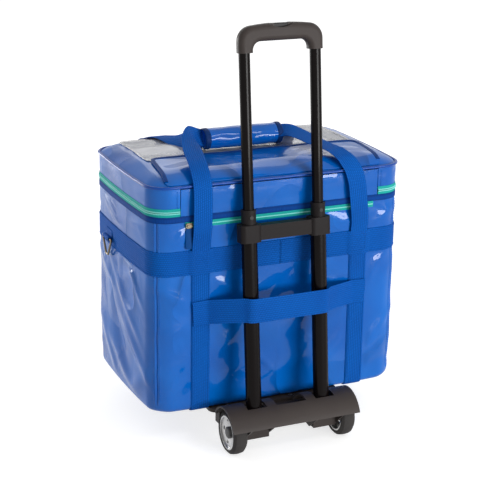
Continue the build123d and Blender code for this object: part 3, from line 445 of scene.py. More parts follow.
wear_group, wear_in, wear_out = new_group(
    "Edge wear",
    [("Position", "NodeSocketVector", None), ("Radius", "NodeSocketFloat", 0.0008),
     ("Amount", "NodeSocketFloat", 0.5)],
    [("Mask", "NodeSocketFloat")],
)
bevel = wear_group.nodes.new("ShaderNodeBevel")
bevel.samples = 4
geometry = wear_group.nodes.new("ShaderNodeNewGeometry")
likeness = wear_group.nodes.new("ShaderNodeVectorMath")
likeness.operation = "DOT_PRODUCT"
scuff = wear_group.nodes.new("ShaderNodeTexNoise")
scuff.inputs["Scale"].default_value = 90.0
link_up(
    wear_group,
    (wear_in.outputs["Radius"], bevel.inputs["Radius"]),
    (bevel.outputs[0], likeness.inputs[0]),
    (geometry.outputs["Normal"], likeness.inputs[1]),
    (wear_in.outputs["Position"], scuff.inputs["Vector"]),
)
edge = math_node(wear_group, "MULTIPLY", math_node(wear_group, "SUBTRACT", 1.0, likeness.outputs["Value"]), 6.0, clamp=True)
worn = math_node(wear_group, "MULTIPLY", edge, math_node(wear_group, "MULTIPLY", scuff.outputs[0], 1.6))
link_up(wear_group, (math_node(wear_group, "MULTIPLY", worn, wear_in.outputs["Amount"], clamp=True), wear_out.inputs["Mask"]))
crease_group, crease_in, crease_out = new_group(
    "Crumpled creases",
    [("Position", "NodeSocketVector", None), ("Folds per metre", "NodeSocketFloat", 8.0),
     ("Patches per metre", "NodeSocketFloat", 5.0)],
    [("Height", "NodeSocketFloat")],
)
ridge_noise = crease_group.nodes.new("ShaderNodeTexNoise")
ridge_noise.inputs["Detail"].default_value = 0.6
ridge_noise.inputs["Distortion"].default_value = 0.7
patch_noise = crease_group.nodes.new("ShaderNodeTexNoise")
link_up(
    crease_group,
    (crease_in.outputs["Position"], ridge_noise.inputs["Vector"]),
    (crease_in.outputs["Folds per metre"], ridge_noise.inputs["Scale"]),
    (crease_in.outputs["Position"], patch_noise.inputs["Vector"]),
    (crease_in.outputs["Patches per metre"], patch_noise.inputs["Scale"]),
)
centred = math_node(crease_group, "MULTIPLY", math_node(crease_group, "SUBTRACT", ridge_noise.outputs[0], 0.5), 2.6)
ridges = math_node(crease_group, "POWER", math_node(
    crease_group, "SUBTRACT", 1.0, math_node(crease_group, "ABSOLUTE", centred), clamp=True), 4.0)
patchy = math_node(crease_group, "MULTIPLY", math_node(crease_group, "SUBTRACT", patch_noise.outputs[0], 0.40), 4.0,
                   clamp=True)
creased = math_node(crease_group, "ADD", math_node(crease_group, "MULTIPLY", ridges, patchy),
                    math_node(crease_group, "MULTIPLY", ridge_noise.outputs[0], 0.8))
link_up(crease_group, (creased, crease_out.inputs["Height"]))
print("groups", [g.name for g in bpy.data.node_groups])

# %% [markdown]
# ## Finishes
#
# One maker sets up each finish: a Principled shader whose colour drifts between two tones, whose
# roughness drifts with it, and whose relief comes from the fine grain or from the weave. Woven
# finishes also get painted shade in the gaps between threads. Numbers
# that are the same all over the surface, such as coat or specular level, sit on the shader itself.

# %% Material maker


def mix_colour(tree, factor, a, b):
    """Colour mix node; a and b are colours or sockets."""
    node = tree.nodes.new("ShaderNodeMix")
    node.data_type = "RGBA"
    tree.links.new(factor, node.inputs[0])
    for socket, value in ((node.inputs[6], a), (node.inputs[7], b)):
        if isinstance(value, (tuple, list)):
            socket.default_value = (*value[:3], 1.0)
        else:
            tree.links.new(value, socket)
    return node.outputs[2]


def use_group(tree, group, **values):
    """Group node with its inputs set to sockets or numbers; underscores stand for spaces."""
    node = tree.nodes.new("ShaderNodeGroup")
    node.node_tree = group
    for title, value in values.items():
        socket = node.inputs[title.replace("_", " ")]
        if isinstance(value, (int, float)):
            socket.default_value = value
        else:
            tree.links.new(value, socket)
    return node


def make_finish(name, dark, light, roughness, spread=0.1, grain_scale=400.0, patch_scale=12.0, relief=0.0001,
                weave=None, weave_relief=0.0003, wear=0.0, worn_colour=(0.3, 0.3, 0.3), creases=0.0, **shader_values):
    """Principled finish: colour between dark and light by the drift's tone, with painted shade in the weave's gaps,
    relief from grain, weave and creases.
    """
    material = bpy.data.materials.new(name)
    material.use_nodes = True
    tree = material.node_tree
    shader = tree.nodes["Principled BSDF"]
    place = tree.nodes.new("ShaderNodeTexCoord")
    drift = use_group(tree, drift_group, Position=place.outputs["Object"], Grain_per_metre=grain_scale,
                      Patch_per_metre=patch_scale, Roughness=roughness, Roughness_spread=spread)
    colour = mix_colour(tree, drift.outputs["Tone"], dark, light)
    bump = tree.nodes.new("ShaderNodeBump")
    bump.inputs["Distance"].default_value = relief
    bump.inputs["Strength"].default_value = 1.0
    tree.links.new(drift.outputs["Height"], bump.inputs["Height"])
    normal = bump.outputs[0]
    if weave:
        pattern = use_group(tree, weave_group, UV=place.outputs["UV"], Rows_per_metre=weave[0], Threads_per_metre=weave[1])
        # Painted shade: the gaps between the threads are darkened towards 0.4 of the dark tone.
        gap = math_node(tree, "MULTIPLY", pattern.outputs["Painted gap shade"], 0.85)
        colour = mix_colour(tree, gap, colour, tuple(0.4 * v for v in dark))
        woven = tree.nodes.new("ShaderNodeBump")
        woven.inputs["Distance"].default_value = weave_relief
        link_up(tree, (pattern.outputs["Height"], woven.inputs["Height"]), (normal, woven.inputs["Normal"]))
        normal = woven.outputs[0]
    if creases:
        ridge = use_group(tree, crease_group, Position=place.outputs["Object"])
        fold = tree.nodes.new("ShaderNodeBump")
        fold.inputs["Distance"].default_value = creases
        link_up(tree, (ridge.outputs["Height"], fold.inputs["Height"]), (normal, fold.inputs["Normal"]))
        normal = fold.outputs[0]
    if wear:
        edges = use_group(tree, wear_group, Position=place.outputs["Object"], Amount=wear)
        colour = mix_colour(tree, edges.outputs["Mask"], colour, worn_colour)
    link_up(tree, (colour, shader.inputs["Base Color"]), (drift.outputs["Roughness"], shader.inputs["Roughness"]),
            (normal, shader.inputs["Normal"]))
    for title, value in shader_values.items():
        shader.inputs[title.replace("_", " ")].default_value = value
    return material


# %% The finishes of the sewn parts
tarpaulin = make_finish("glossy blue tarpaulin", (0.0, 0.086, 0.42), (0.0, 0.158, 0.62), 0.30, 0.12, 900.0, 9.0,
                        0.00004, creases=0.0100, Specular_IOR_Level=0.03, Coat_Weight=0.5, Coat_Roughness=0.03)
band_cloth = make_finish("ribbed navy ribbon", (0.0, 0.052, 0.29), (0.001, 0.072, 0.37), 0.75, weave=(420.0, 120.0),
                         Specular_IOR_Level=0.15)
webbing_cloth = make_finish("woven blue webbing", (0.001, 0.105, 0.50), (0.002, 0.145, 0.63), 0.72, 0.1, 900.0, 14.0,
                            weave=(380.0, 300.0), weave_relief=0.0007, Specular_IOR_Level=0.12)
binding_cloth = make_finish("dark blue binding", (0.0, 0.050, 0.25), (0.001, 0.065, 0.32), 0.6, weave=(600.0, 600.0),
                            Specular_IOR_Level=0.15)
bead_finish = make_finish("blue piping bead", (0.0, 0.055, 0.32), (0.001, 0.075, 0.42), 0.35, Specular_IOR_Level=0.2,
                          Coat_Weight=0.15, Coat_Roughness=0.12)
zip_cloth = make_finish("teal zip tape", (0.01, 0.46, 0.41), (0.02, 0.58, 0.52), 0.7, weave=(700.0, 500.0),
                        Specular_IOR_Level=0.2)
coil_finish = make_finish("pale teal zip coil", (0.20, 0.76, 0.70), (0.32, 0.88, 0.82), 0.4, 0.1, 900.0)
thread_finish = make_finish("blue sewing thread", (0.001, 0.10, 0.44), (0.003, 0.13, 0.52), 0.6, Specular_IOR_Level=0.2)
lining_finish = make_finish("pale wipe-clean lining", (0.62, 0.64, 0.67), (0.75, 0.77, 0.80), 0.4, 0.15, 700.0,
                            creases=0.0010, Coat_Weight=0.3, Coat_Roughness=0.25)
film = make_finish("clear window film", (0.48, 0.49, 0.53), (0.64, 0.65, 0.68), 0.14, 0.08, 300.0, 14.0, 0.00006,
                   creases=0.0060, Specular_IOR_Level=0.2, Coat_Weight=0.6, Coat_Roughness=0.04, Alpha=0.55)
puller_cloth = make_finish("blue cloth tab", (0.001, 0.11, 0.46), (0.002, 0.15, 0.56), 0.65, weave=(600.0, 600.0),
                           Specular_IOR_Level=0.15)

# %% [markdown]
# ## Finishes of the hard parts
#
# The trolley is moulded in a matt charcoal nylon with a fine grain, its tubes are gloss black
# anodised aluminium, the wheels are dull rubber on silver rims, and the small metal fittings are
# antique brass. These go on the CAD nodes themselves, whose shapes are already right.

# %% Hard finishes on the CAD nodes
charcoal = make_finish("charcoal moulding", (0.036, 0.028, 0.026), (0.052, 0.042, 0.038), 0.5, 0.12, 1500.0, 20.0,
                       0.00012, wear=0.4, worn_colour=(0.12, 0.11, 0.10), Specular_IOR_Level=0.2)
gloss_black = make_finish("gloss black tube", (0.003, 0.002, 0.002), (0.005, 0.003, 0.003), 0.26, 0.08, 1200.0, 8.0,
                          0.00002, Specular_IOR_Level=0.06, Coat_Weight=0.07, Coat_Roughness=0.06)
dark_moulding = make_finish("darker moulding of the crossbar", (0.011, 0.009, 0.009), (0.018, 0.015, 0.015), 0.5, 0.12,
                            1500.0, 20.0, 0.00012, wear=0.4, worn_colour=(0.08, 0.07, 0.07), Specular_IOR_Level=0.1)
button_black = make_finish("satin black button", (0.006, 0.005, 0.005), (0.010, 0.009, 0.009), 0.4, wear=0.3,
                           worn_colour=(0.05, 0.05, 0.05), Specular_IOR_Level=0.2)
rubber = make_finish("dull tyre rubber", (0.034, 0.031, 0.030), (0.050, 0.046, 0.044), 0.78, 0.1, 1100.0, 30.0, 0.0002,
                     Specular_IOR_Level=0.25)
silver = make_finish("silver rim", (0.46, 0.46, 0.46), (0.62, 0.61, 0.60), 0.34, 0.12, 800.0, 30.0, 0.00003,
                     Metallic=1.0)
cap_finish = make_finish("dark wheel cap", (0.022, 0.021, 0.020), (0.036, 0.034, 0.033), 0.4, wear=0.4,
                         worn_colour=(0.12, 0.12, 0.12))
brass = make_finish("antique brass", (0.09, 0.07, 0.045), (0.24, 0.20, 0.14), 0.36, 0.2, 900.0, 160.0, 0.00008,
                    wear=0.7, worn_colour=(0.50, 0.42, 0.28), Metallic=1.0)
steel = make_finish("zinc plated steel", (0.42, 0.42, 0.43), (0.58, 0.58, 0.60), 0.35, 0.15, 1200.0, 60.0, 0.00003,
                    Metallic=1.0)
hard_finishes = {
    charcoal: ["base_housing", "toe_plate", "pull_handle", "upper_bushes"],
    dark_moulding: ["crossbar", "middle_collars"],
    gloss_black: ["lower_tube_left", "lower_tube_right", "middle_tubes", "upper_tubes"],
    button_black: ["release_button", "release_yoke", "collar_buttons"],
    rubber: ["left_tyre", "right_tyre", "foot_pads"],
    silver: ["left_hub", "right_hub"],
    cap_finish: ["left_cap", "right_cap"],
    brass: ["pocket_slider", "lid_slider_left", "lid_slider_right", "ring_left", "ring_right"],
    steel: ["axle", "axle_nuts", "crossbar_screws", "toe_screws", "button_spring"],
}
for finish, names in hard_finishes.items():
    for name in names:
        nodes[name].data.materials.clear()
        nodes[name].data.materials.append(finish)
print("hard nodes finished", sum(len(names) for names in hard_finishes.values()))

# %% [markdown]
# ## The bag's walls
#
# The tub is one closed skin: from the middle of the bottom out to the rounded lower edge, up the
# outside with its swelling and folds, over the rim and down inside again. The lower edge is rounder
# at the corners than along the sides, because the cloth gathers there. A narrow groove near each
# corner is the seam between the wrapped panels.

# %% Wall skin
seam_places = np.array([-209.0, 209.0, perimeter / 2 - 209.0, perimeter / 2 + 209.0])


def seam_dent(s, z):
    """Thin groove with a raised lip beside it along each upright corner seam."""
    dent = 0
    for place in seam_places:
        ds = (s - place + perimeter / 2) % perimeter - perimeter / 2
        dent = dent - 1.3 * np.exp(-(ds / 1.1) ** 2) + 0.7 * np.exp(-((np.abs(ds) - 3.2) / 1.9) ** 2)
    return dent


def even_walk(extra=(), step=3.2):
    """Distances round the plan, evenly spaced, with finer ones beside the given places."""
    s = np.arange(0, perimeter - step / 2, step)
    fine = np.concatenate([np.asarray(extra)[:, None] + np.linspace(-6, 6, 13)[None]], 0).ravel() if len(extra) else []
    joined = np.unique(np.round(np.concatenate([s, np.asarray(fine) % perimeter]), 2))
    keep = np.concatenate([[True], np.diff(joined) > 0.5])
    return joined[keep]


def shrink(s, inset, z):
    """The plan drawn in towards the middle: both half sides lose inset millimetres."""
    x, y, _, _ = plan(s)
    px = x * (1 - inset / half_width)
    py = mid_y + (y - mid_y) * (1 - inset / (bag_depth / 2))
    return np.stack(np.broadcast_arrays(px, py, z), -1)


def tub(s, rim_z, low_z):
    """Rows of the outer skin: bottom panel, rounded lower edge, then the wall up to the rim."""
    x, y, nx, ny = plan(s)
    cornered = 1 - flatness(x, y, nx, ny)
    radius = bottom_radius + 7 * cornered ** 2
    rows = []
    for share in (0.0, 0.35, 0.7, 0.9):
        inset = 130 - share * (130 - 26)
        rows.append(shrink(s, inset, low_z + 0.6 * (1 - share)))
    for phi in np.linspace(0, math.pi / 2, 9):
        back = radius * (1 - math.sin(phi))
        z = low_z + radius * (1 - math.cos(phi))
        rows.append(np.stack([x - nx * back, y - ny * back, z], -1))
    share = np.linspace(0, 1, 86)[1:, None]
    start = low_z + radius[None]
    z = start + (rim_z - start) * share
    s_grid = np.broadcast_to(s, z.shape)
    upright = wall(s_grid, z, seam_dent(s_grid, z))
    return np.concatenate([np.stack(rows), upright])


s_walk = even_walk(seam_places)
outer = tub(s_walk, band_high, bag_bottom)
inner_rows = np.stack([wall(s_walk, np.full_like(s_walk, z), -2.6) if z > 100 else
                       wall(s_walk, np.full_like(s_walk, z), -4.0) for z in (band_high, 340.0, 240.0, 140.0, 66.0)])
inner_floor = np.stack([shrink(s_walk, inset, 61.0) for inset in (20.0, 70.0, 130.0)])
bag_walls = grid_mesh("bag_walls", np.concatenate([outer, inner_rows, inner_floor]), "bag", tarpaulin,
                      close_columns=True, cap_rows=True)
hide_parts("body_shell")
print("bag_walls", len(bag_walls.data.polygons), "faces")

# %% Near rim panel: the stretch of the near wall above the zip band that stays sewn to the bag
rim_s = np.linspace(-lid_zip_end, lid_zip_end, 110)
rim_z = np.linspace(band_high - 3, piping_z - 3.4, 22)
rim_grid_s, rim_grid_z = np.meshgrid(rim_s, rim_z)
outside = wall(rim_grid_s, rim_grid_z, 0.0)
inside = wall(rim_grid_s[::-1], rim_grid_z[::-1], -1.6)
near_panel = grid_mesh("near_panel", np.concatenate([outside, inside]), "bag", tarpaulin,
                       close_rows=True, cap_columns=True)
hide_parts("near_rim_panel")
print("near_panel", len(near_panel.data.polygons), "faces")

# %% [markdown]
# ## The lining
#
# Inside, a pale coated lining covers the insulation board and folds over the rim to meet the
# wall. It is a tub as well, with softly rounded lower corners and a little ripple.

# %% Lining tub with its bound rim
lining_s = even_walk(step=6.0)
lining_grow = -14.6


def lining_wall(z, stand=0.0):
    """A level ring of the lining, with a small ripple that fades at the rim."""
    ripple = 0.8 * np.sin(lining_s / 23 + z / 37) * math.sin(math.pi * min(1, max(0, (z - 80) / 290)))
    x, y, nx, ny = plan(lining_s)
    out = lining_grow + stand + ripple
    return np.stack([x + nx * out, y + ny * out, np.full_like(x, z)], -1)


def outer_ring(z, grow):
    """A level ring at a steady distance from the plan."""
    x, y, nx, ny = plan(lining_s)
    return np.stack([x + nx * grow, y + ny * grow, np.full_like(x, z)], -1)


rings = [outer_ring(64, -30), outer_ring(63.5, -8), outer_ring(90, -4.4), outer_ring(240, -4.4), outer_ring(378, -4.4),
         outer_ring(383, -4.2), outer_ring(384.3, -6.0), outer_ring(384.3, -12.0), lining_wall(381, 0.0)]
rings += [lining_wall(z) for z in np.linspace(372, 92, 26)]
rings += [outer_ring(82, lining_grow - 2), outer_ring(77.5, lining_grow - 6), outer_ring(75.8, lining_grow - 12)]
floor_rings = [shrink(lining_s, inset, 75.8) for inset in (45.0, 85.0, 128.0)]
under = [shrink(lining_s, inset, 64.0) for inset in (128.0, 60.0)]
lining_tub = grid_mesh("lining_tub", np.stack(under + rings + floor_rings), "bag", lining_finish,
                       close_columns=True, cap_rows=True)
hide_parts("inner_liner", "body_insulation", "base_board")
print("lining_tub", len(lining_tub.data.polygons), "faces")

# %% [markdown]
# ## The lid
#
# The lid's skirt continues the wall above the zip. At the piping it turns into a padded crown that
# rises quickly at first and then levels out, with shallow dents where the padding has settled.
# The near stretch of the skirt belongs to the bag, so the lid's skirt starts only beyond the zip's
# ends. The crown is drawn in by scaling the plan, so it keeps the bag's shape to the middle.

# %% Lid crown and skirt
lid_dents = [
    # x, y, half length, half width, slope, height
    (-150, -50, 40, 14, 40, 1.4), (-60, -62, 50, 12, 4, 1.5), (40, -58, 46, 12, -5, 1.6), (140, -50, 40, 12, -32, 1.2),
    (0, 20, 120, 20, 0, -1.6), (-130, 90, 60, 16, 12, 1.2), (120, 100, 60, 16, -14, 1.4), (20, 120, 90, 14, 3, -1.3),
    (-190, 20, 30, 9, 84, 1.0), (190, 40, 30, 9, 95, 1.0), (70, -30, 30, 8, 30, 1.3), (-30, -32, 34, 9, -18, -1.2),
]


def crown_relief(x, y):
    """Dents of the crown: stretched bells in plan, turned by their slopes."""
    total = 0.5 * np.sin(x / 23 + y / 31) * np.sin(y / 19 - x / 47)
    for cx, cy, length, width, slope, rise in lid_dents:
        c, k = math.cos(math.radians(slope)), math.sin(math.radians(slope))
        along = ((x - cx) * c + (y - cy) * k) / length
        across = (-(x - cx) * k + (y - cy) * c) / width
        total = total + rise * np.exp(-along ** 2 - across ** 2)
    return total


def crown_height(inset):
    """Height of the crown above the piping: 16 mm * (1 - exp(-(inset - 1) / 17))."""
    return 16.5 * (1 - np.exp(-(np.maximum(inset, 1.0) - 1.0) / 17.0))


def crown(s, inset, lift=0.0):
    """A point of the crown over the plan point s, inset millimetres in from the piping."""
    s, inset = np.broadcast_arrays(np.asarray(s, float), np.asarray(inset, float))
    x, y, _, _ = plan(s)
    px = x * (1 - inset / half_width)
    py = mid_y + (y - mid_y) * (1 - inset / (bag_depth / 2))
    z = piping_z + crown_height(inset) + lift + crown_relief(px, py) * smooth_step(3, 24, inset)
    return np.stack([px, py, z], -1)


plan_angle = np.arctan2(plan_y - mid_y, plan_x)
plan_reach = np.hypot(plan_x, plan_y - mid_y)
by_angle = np.argsort(plan_angle)


def inset_at(x, y):
    """How far in from the piping a place lies, by halving: the place scaled back out must meet the plan."""
    low = np.zeros(np.broadcast(x, y).shape)
    high = np.full(low.shape, bag_depth / 2 - 0.5)
    for _ in range(22):
        middle = (low + high) / 2
        px, py = x / (1 - middle / half_width), (y - mid_y) / (1 - middle / (bag_depth / 2))
        edge = np.interp(np.arctan2(py, px), plan_angle[by_angle], plan_reach[by_angle], period=2 * math.pi)
        within = np.hypot(px, py) < edge
        low, high = np.where(within, middle, low), np.where(within, high, middle)
    return (low + high) / 2


def crown_at(x, y, lift=0.0):
    """The crown's surface over a place in plan, raised by lift."""
    inset = inset_at(x, y)
    z = piping_z + crown_height(inset) + crown_relief(x, y) * smooth_step(3, 24, inset) + lift
    return np.stack(np.broadcast_arrays(x, y, z), -1)


crown_insets = np.concatenate([np.linspace(0.0, 30, 22), np.linspace(33, 132, 30)])
crown_rows = np.stack([crown(s_walk, inset) for inset in crown_insets])
skirt_s = np.linspace(lid_zip_end + 1, perimeter - lid_zip_end - 1, 330)
skirt_z = np.linspace(zip_z + 5.5, piping_z - 0.4, 18)
grid_s, grid_z = np.meshgrid(skirt_s, skirt_z)
lid_skirt = grid_mesh("lid_skirt", np.concatenate([wall(grid_s, grid_z), wall(grid_s[::-1], grid_z[::-1], -1.8)]),
                      "lid", tarpaulin, close_rows=True, cap_columns=True)
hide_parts("lid_shell")
lid_rows = np.concatenate([
    np.stack([crown(s_walk, inset, -2.5) for inset in (128.0, 80.0, 40.0, 16.0, 4.0)]),
    crown_rows,
])
lid_crown = grid_mesh("lid_crown", lid_rows, "lid", tarpaulin, close_columns=True, cap_rows=True)
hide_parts("lid_padding")
print("lid", len(lid_skirt.data.polygons) + len(lid_crown.data.polygons), "faces")

# %% Underside of the lid: a padded, lined slab that drops into the rim
pad_s = even_walk(step=7.0)


def pad_ring(inset, z):
    """A level ring of the lid's underside; its near side stops behind the near wall's insulation."""
    x, y, nx, ny = plan(pad_s)
    px, py = x - nx * inset, y - ny * inset
    return np.stack([px, np.maximum(py, near_y + 17.5 + inset * 0.2), np.full_like(px, z)], -1)


pad_rows = [shrink(pad_s, 120, 416.5), shrink(pad_s, 60, 415.6), shrink(pad_s, 30, 415.2)]
pad_rows += [pad_ring(10, 415.6), pad_ring(5, 417.5), pad_ring(3.4, 421), pad_ring(3.2, 427), pad_ring(6, 428)]
pad_rows += [shrink(pad_s, 30, 428.2), shrink(pad_s, 120, 428.2)]
lid_underside = grid_mesh("lid_underside", np.stack(pad_rows), "lid", lining_finish, close_columns=True, cap_rows=True)
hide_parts("lid_insulation", "lid_liner")
print("lid_underside", len(lid_underside.data.polygons), "faces")

# %% [markdown]
# ## Piping, ribbon and zips
#
# The bead round the lid is a thin cord sewn into a strip: a round profile carried along the plan.
# Below the zip runs a ribbed ribbon. The zip is a woven tape with two rows of coil, whose turns
# are a tube with a radius that swells and shrinks along its length.

# %% Round and flat runs round the plan


def round_profile(radius, count=12):
    """Points of a circle, counterclockwise."""
    angle = np.linspace(0, 2 * math.pi, count, endpoint=False)
    return np.stack([radius * np.cos(angle), radius * np.sin(angle)], -1)


def run_round(name, s, z, stand, body, material, width=None, thick=None, radius=None, closed=False):
    """Ribbon or bead along the plan at one height, standing off the wall; its width is upright."""
    line = wall(s, z, stand)
    across = np.broadcast_to([0.0, 0.0, 1.0], line.shape)
    profile = round_profile(radius) if radius else flat_profile(width, thick)
    return ribbon(name, line, across, width or 2 * radius, thick or 2 * radius, body, material, closed, profile)


bead = run_round("piping_bead", s_walk, piping_z + 0.4, 0.5, "lid", bead_finish, radius=2.3, closed=True)
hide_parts("lid_piping")
rim_band = run_round("zip_band", s_walk, (band_low + band_high) / 2, 0.6, "bag", band_cloth, width=10.0, thick=1.3,
                     closed=True)
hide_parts("ribbed_band")
zip_s = np.linspace(lid_zip_end + 1, perimeter - lid_zip_end - 1, 420)
lower_tape = run_round("zip_tape_lower", zip_s, zip_z - 3.4, 0.3, "bag", zip_cloth, width=6.2, thick=1.0)
upper_tape = run_round("zip_tape_upper", zip_s, zip_z + 3.4, 0.3, "lid", zip_cloth, width=6.2, thick=1.0)
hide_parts("lid_zip_lower")
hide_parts("lid_zip_upper")


def coil_run(name, s, z, stand, body, radius, turn):
    """Zip coil: a round profile whose radius is radius * (1 + 0.22 cos(2 pi distance / turn))."""
    line = wall(s, z, stand)
    along = unit(np.gradient(line, axis=0))
    up = np.broadcast_to([0.0, 0.0, 1.0], line.shape)
    outward = np.cross(along, up)
    distance = walk(line)
    size = radius * (1 + 0.22 * np.cos(2 * math.pi * distance / turn))[:, None, None]
    ring = round_profile(1.0, 8)
    points = line[:, None] + size * (up[:, None] * ring[None, :, :1] + outward[:, None] * ring[None, :, 1:])
    return grid_mesh(name, points, body, coil_finish, close_columns=True, cap_rows=True, sharp=60)


coil_s = np.linspace(lid_zip_end + 1.5, perimeter - lid_zip_end - 1.5, 2600)
coil_run("zip_coil_lower", coil_s, zip_z - 1.35, 1.0, "bag", 0.95, 1.6)
coil_run("zip_coil_upper", coil_s, zip_z + 1.35, 1.0, "lid", 0.95, 1.6)
pocket_s = np.linspace(-163, 163, 160)
pocket_tape = run_round("pocket_zip_tape", pocket_s, 369.6, 0.4, "bag", zip_cloth, width=9.6, thick=0.8)
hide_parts("pocket_zip")
coil_run("pocket_zip_coil", np.linspace(-150, 162, 800), 369.6, 0.7, "bag", 1.0, 1.6)
print("zips and beads made")

# %% [markdown]
# ## Webbing on the walls
#
# The belt goes once round the bag. Two upright straps pass under it and come up on both sides.
# Each is a flat profile carried along its line on the wall, so it follows the swelling. The carry
# loops leave the wall above the belt: the near one crosses the lid's hinge line, and its upper
# half arches over to the grip.

# %% Belt and upright straps


def over_straps(s):
    """1 where the plan at s passes over an upright strap, and 0 away from it."""
    x, y, nx, ny = plan(s)
    return (1 - smooth_step(strap_width / 2, strap_width / 2 + 5, np.abs(np.abs(x) - strap_x))) * (np.abs(ny) > 0.7)


belt_ribbon = run_round("belt_webbing", s_walk, (belt_bottom + belt_top) / 2, 0.9 + 2.5 * over_straps(s_walk), "bag",
                        webbing_cloth, width=40.0, thick=1.7, closed=True)
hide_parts("belt")


def strap_line(x):
    """Down the near wall, under the bottom and up the far wall at one X."""
    z = np.linspace(belt_top - 2, bag_bottom + bottom_radius, 90)
    near = wall(near_s(x) + 0 * z, z, 1.0)
    far = wall(far_s(x) + 0 * z, z, 1.0)
    phi = np.linspace(math.pi / 2, 0, 8)[1:-1]
    stand = 1.2
    near_turn = np.stack([x + 0 * phi, near[-1, 1] + stand + bottom_radius - (bottom_radius + stand) * np.sin(phi),
                          bag_bottom + bottom_radius - (bottom_radius + stand) * np.cos(phi)], -1)
    far_turn = np.stack([x + 0 * phi, far[-1, 1] - stand - bottom_radius + (bottom_radius + stand) * np.sin(phi),
                         bag_bottom + bottom_radius - (bottom_radius + stand) * np.cos(phi)], -1)
    y = np.linspace(near[-1, 1] + bottom_radius + 1, far[-1, 1] - bottom_radius - 1, 24)
    floor = np.stack([x + 0 * y, y, bag_bottom - stand + 0 * y], -1)
    return np.concatenate([near, near_turn, floor, far_turn[::-1], far[::-1]])


for side, name in ((-1, "left"), (1, "right")):
    line = strap_line(side * strap_x)
    across = np.broadcast_to([-1.0, 0.0, 0.0], line.shape)
    strap = ribbon(f"upright_webbing_{name}", line, across, strap_width, 1.7, "bag", webbing_cloth)
    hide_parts(f"upright_strap_{name}")
print("belt and straps made")

# %% Carry loops
grip_half, grip_x, grip_z = 68.5, -10.0, 466.0
# X, distance out from the wall and height of each loop's middle line
sewn_arm = [(137.5, 2.6, 322), (137.5, 2.9, 332), (137.5, 5.5, 345), (137.3, 8.6, 360), (137, 9.3, 386)]
near_left = [(-x, out, z) for x, out, z in sewn_arm] + [
    (-137, 9.3, 412), (-136.5, 6, 433), (-136, -6, 450), (-134, -24, 462), (-130, -50, 470), (-123, -78, 476),
    (-113, -104, 480), (-103, -123, 480), (-93, -135, 475), (-82, -139.5, 469), (-68, -139.5, 466),
]
near_right = sewn_arm[:3] + [
    (134.5, 8.6, 360), (131, 9.3, 386), (127.5, 9.3, 412), (122, 6, 433), (114, -8, 450), (106, -28, 458.5),
    (97, -52, 461), (89, -78, 464), (80, -100, 469), (68, -121, 473), (56, -134, 471), (44, -139.5, 467),
]
far_left = [(-x, out, z) for x, out, z in sewn_arm] + [
    (-131, 7, 415), (-125, 4.5, 428), (-120, 1, 436.5), (-116, -9, 441), (-112, -25, 447), (-108, -46, 450.5),
    (-104, -71, 453), (-99, -96, 456), (-94, -116, 460), (-88, -130, 464), (-79, -139, 466.5), (-66, -143, 466),
]
far_right = [(-x, out, z) for x, out, z in far_left[:-5]] + [
    (92, -96, 456), (83, -116, 460), (73, -130, 464), (61, -139, 466.5), (46, -143, 466),
]


def loop_lines(side, wall_y, outward, route):
    """Centre line of one carry loop and its width direction.

    Sewn on the strap, it leans out past the zips, rises past the piping and runs in over the lid to the
    grip's end. The width direction starts along X and turns until it lies in the grip's end."""
    points = [(x, wall_y + outward * out, z) for x, out, z in route]
    line = resample(points, 150, 14)
    turn = smooth_step(0.55, 0.97, walk(line) / walk(line)[-1])[:, None]
    ending = np.array([0.0, -0.6, -0.8]) if side < 0 else np.array([0.0, 0.93, 0.3])
    return line, (1 - turn) * np.array([-outward * 1.0, 0.0, 0.0]) + turn * ending


for side, name, near_route, far_route in ((-1, "left", near_left, far_left), (1, "right", near_right, far_right)):
    line, across = loop_lines(side, near_y - near_bow, -1, near_route)
    near_loop = ribbon(f"near_loop_{name}", line, across, strap_width, 1.7, None, webbing_cloth)
    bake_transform(near_loop)
    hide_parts("near_loop_arms", "near_loop_top")
    line, across = loop_lines(side, far_y + far_bow, 1, far_route)
    far_loop = ribbon(f"far_loop_{name}", line, across, strap_width, 1.7, "bag", webbing_cloth)
    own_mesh(far_loop)
    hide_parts("far_loops")
print("carry loops made")

# %% [markdown]
# ## The grip
#
# The two loops meet in a sleeve of padded tarpaulin that closes round them. Its section is a
# slightly flattened circle, it is fullest in the middle, and each end is bound with webbing.

# %% Grip sleeve and its bindings


def sleeve(x, angle):
    """Radius 18.6 mm * (0.94 + 0.06 cos) along X, flattened by 8% in height, with faint creases."""
    share = (x - grip_x) / grip_half
    radius = 18.6 * (0.94 + 0.06 * np.cos(share * math.pi / 2)) + 0.5 * np.sin(4 * angle + x / 11) * np.cos(x / 15)
    y = mid_y + radius * np.cos(angle)
    z = grip_z + 0.93 * radius * np.sin(angle)
    return np.stack(np.broadcast_arrays(x, y, z), -1)


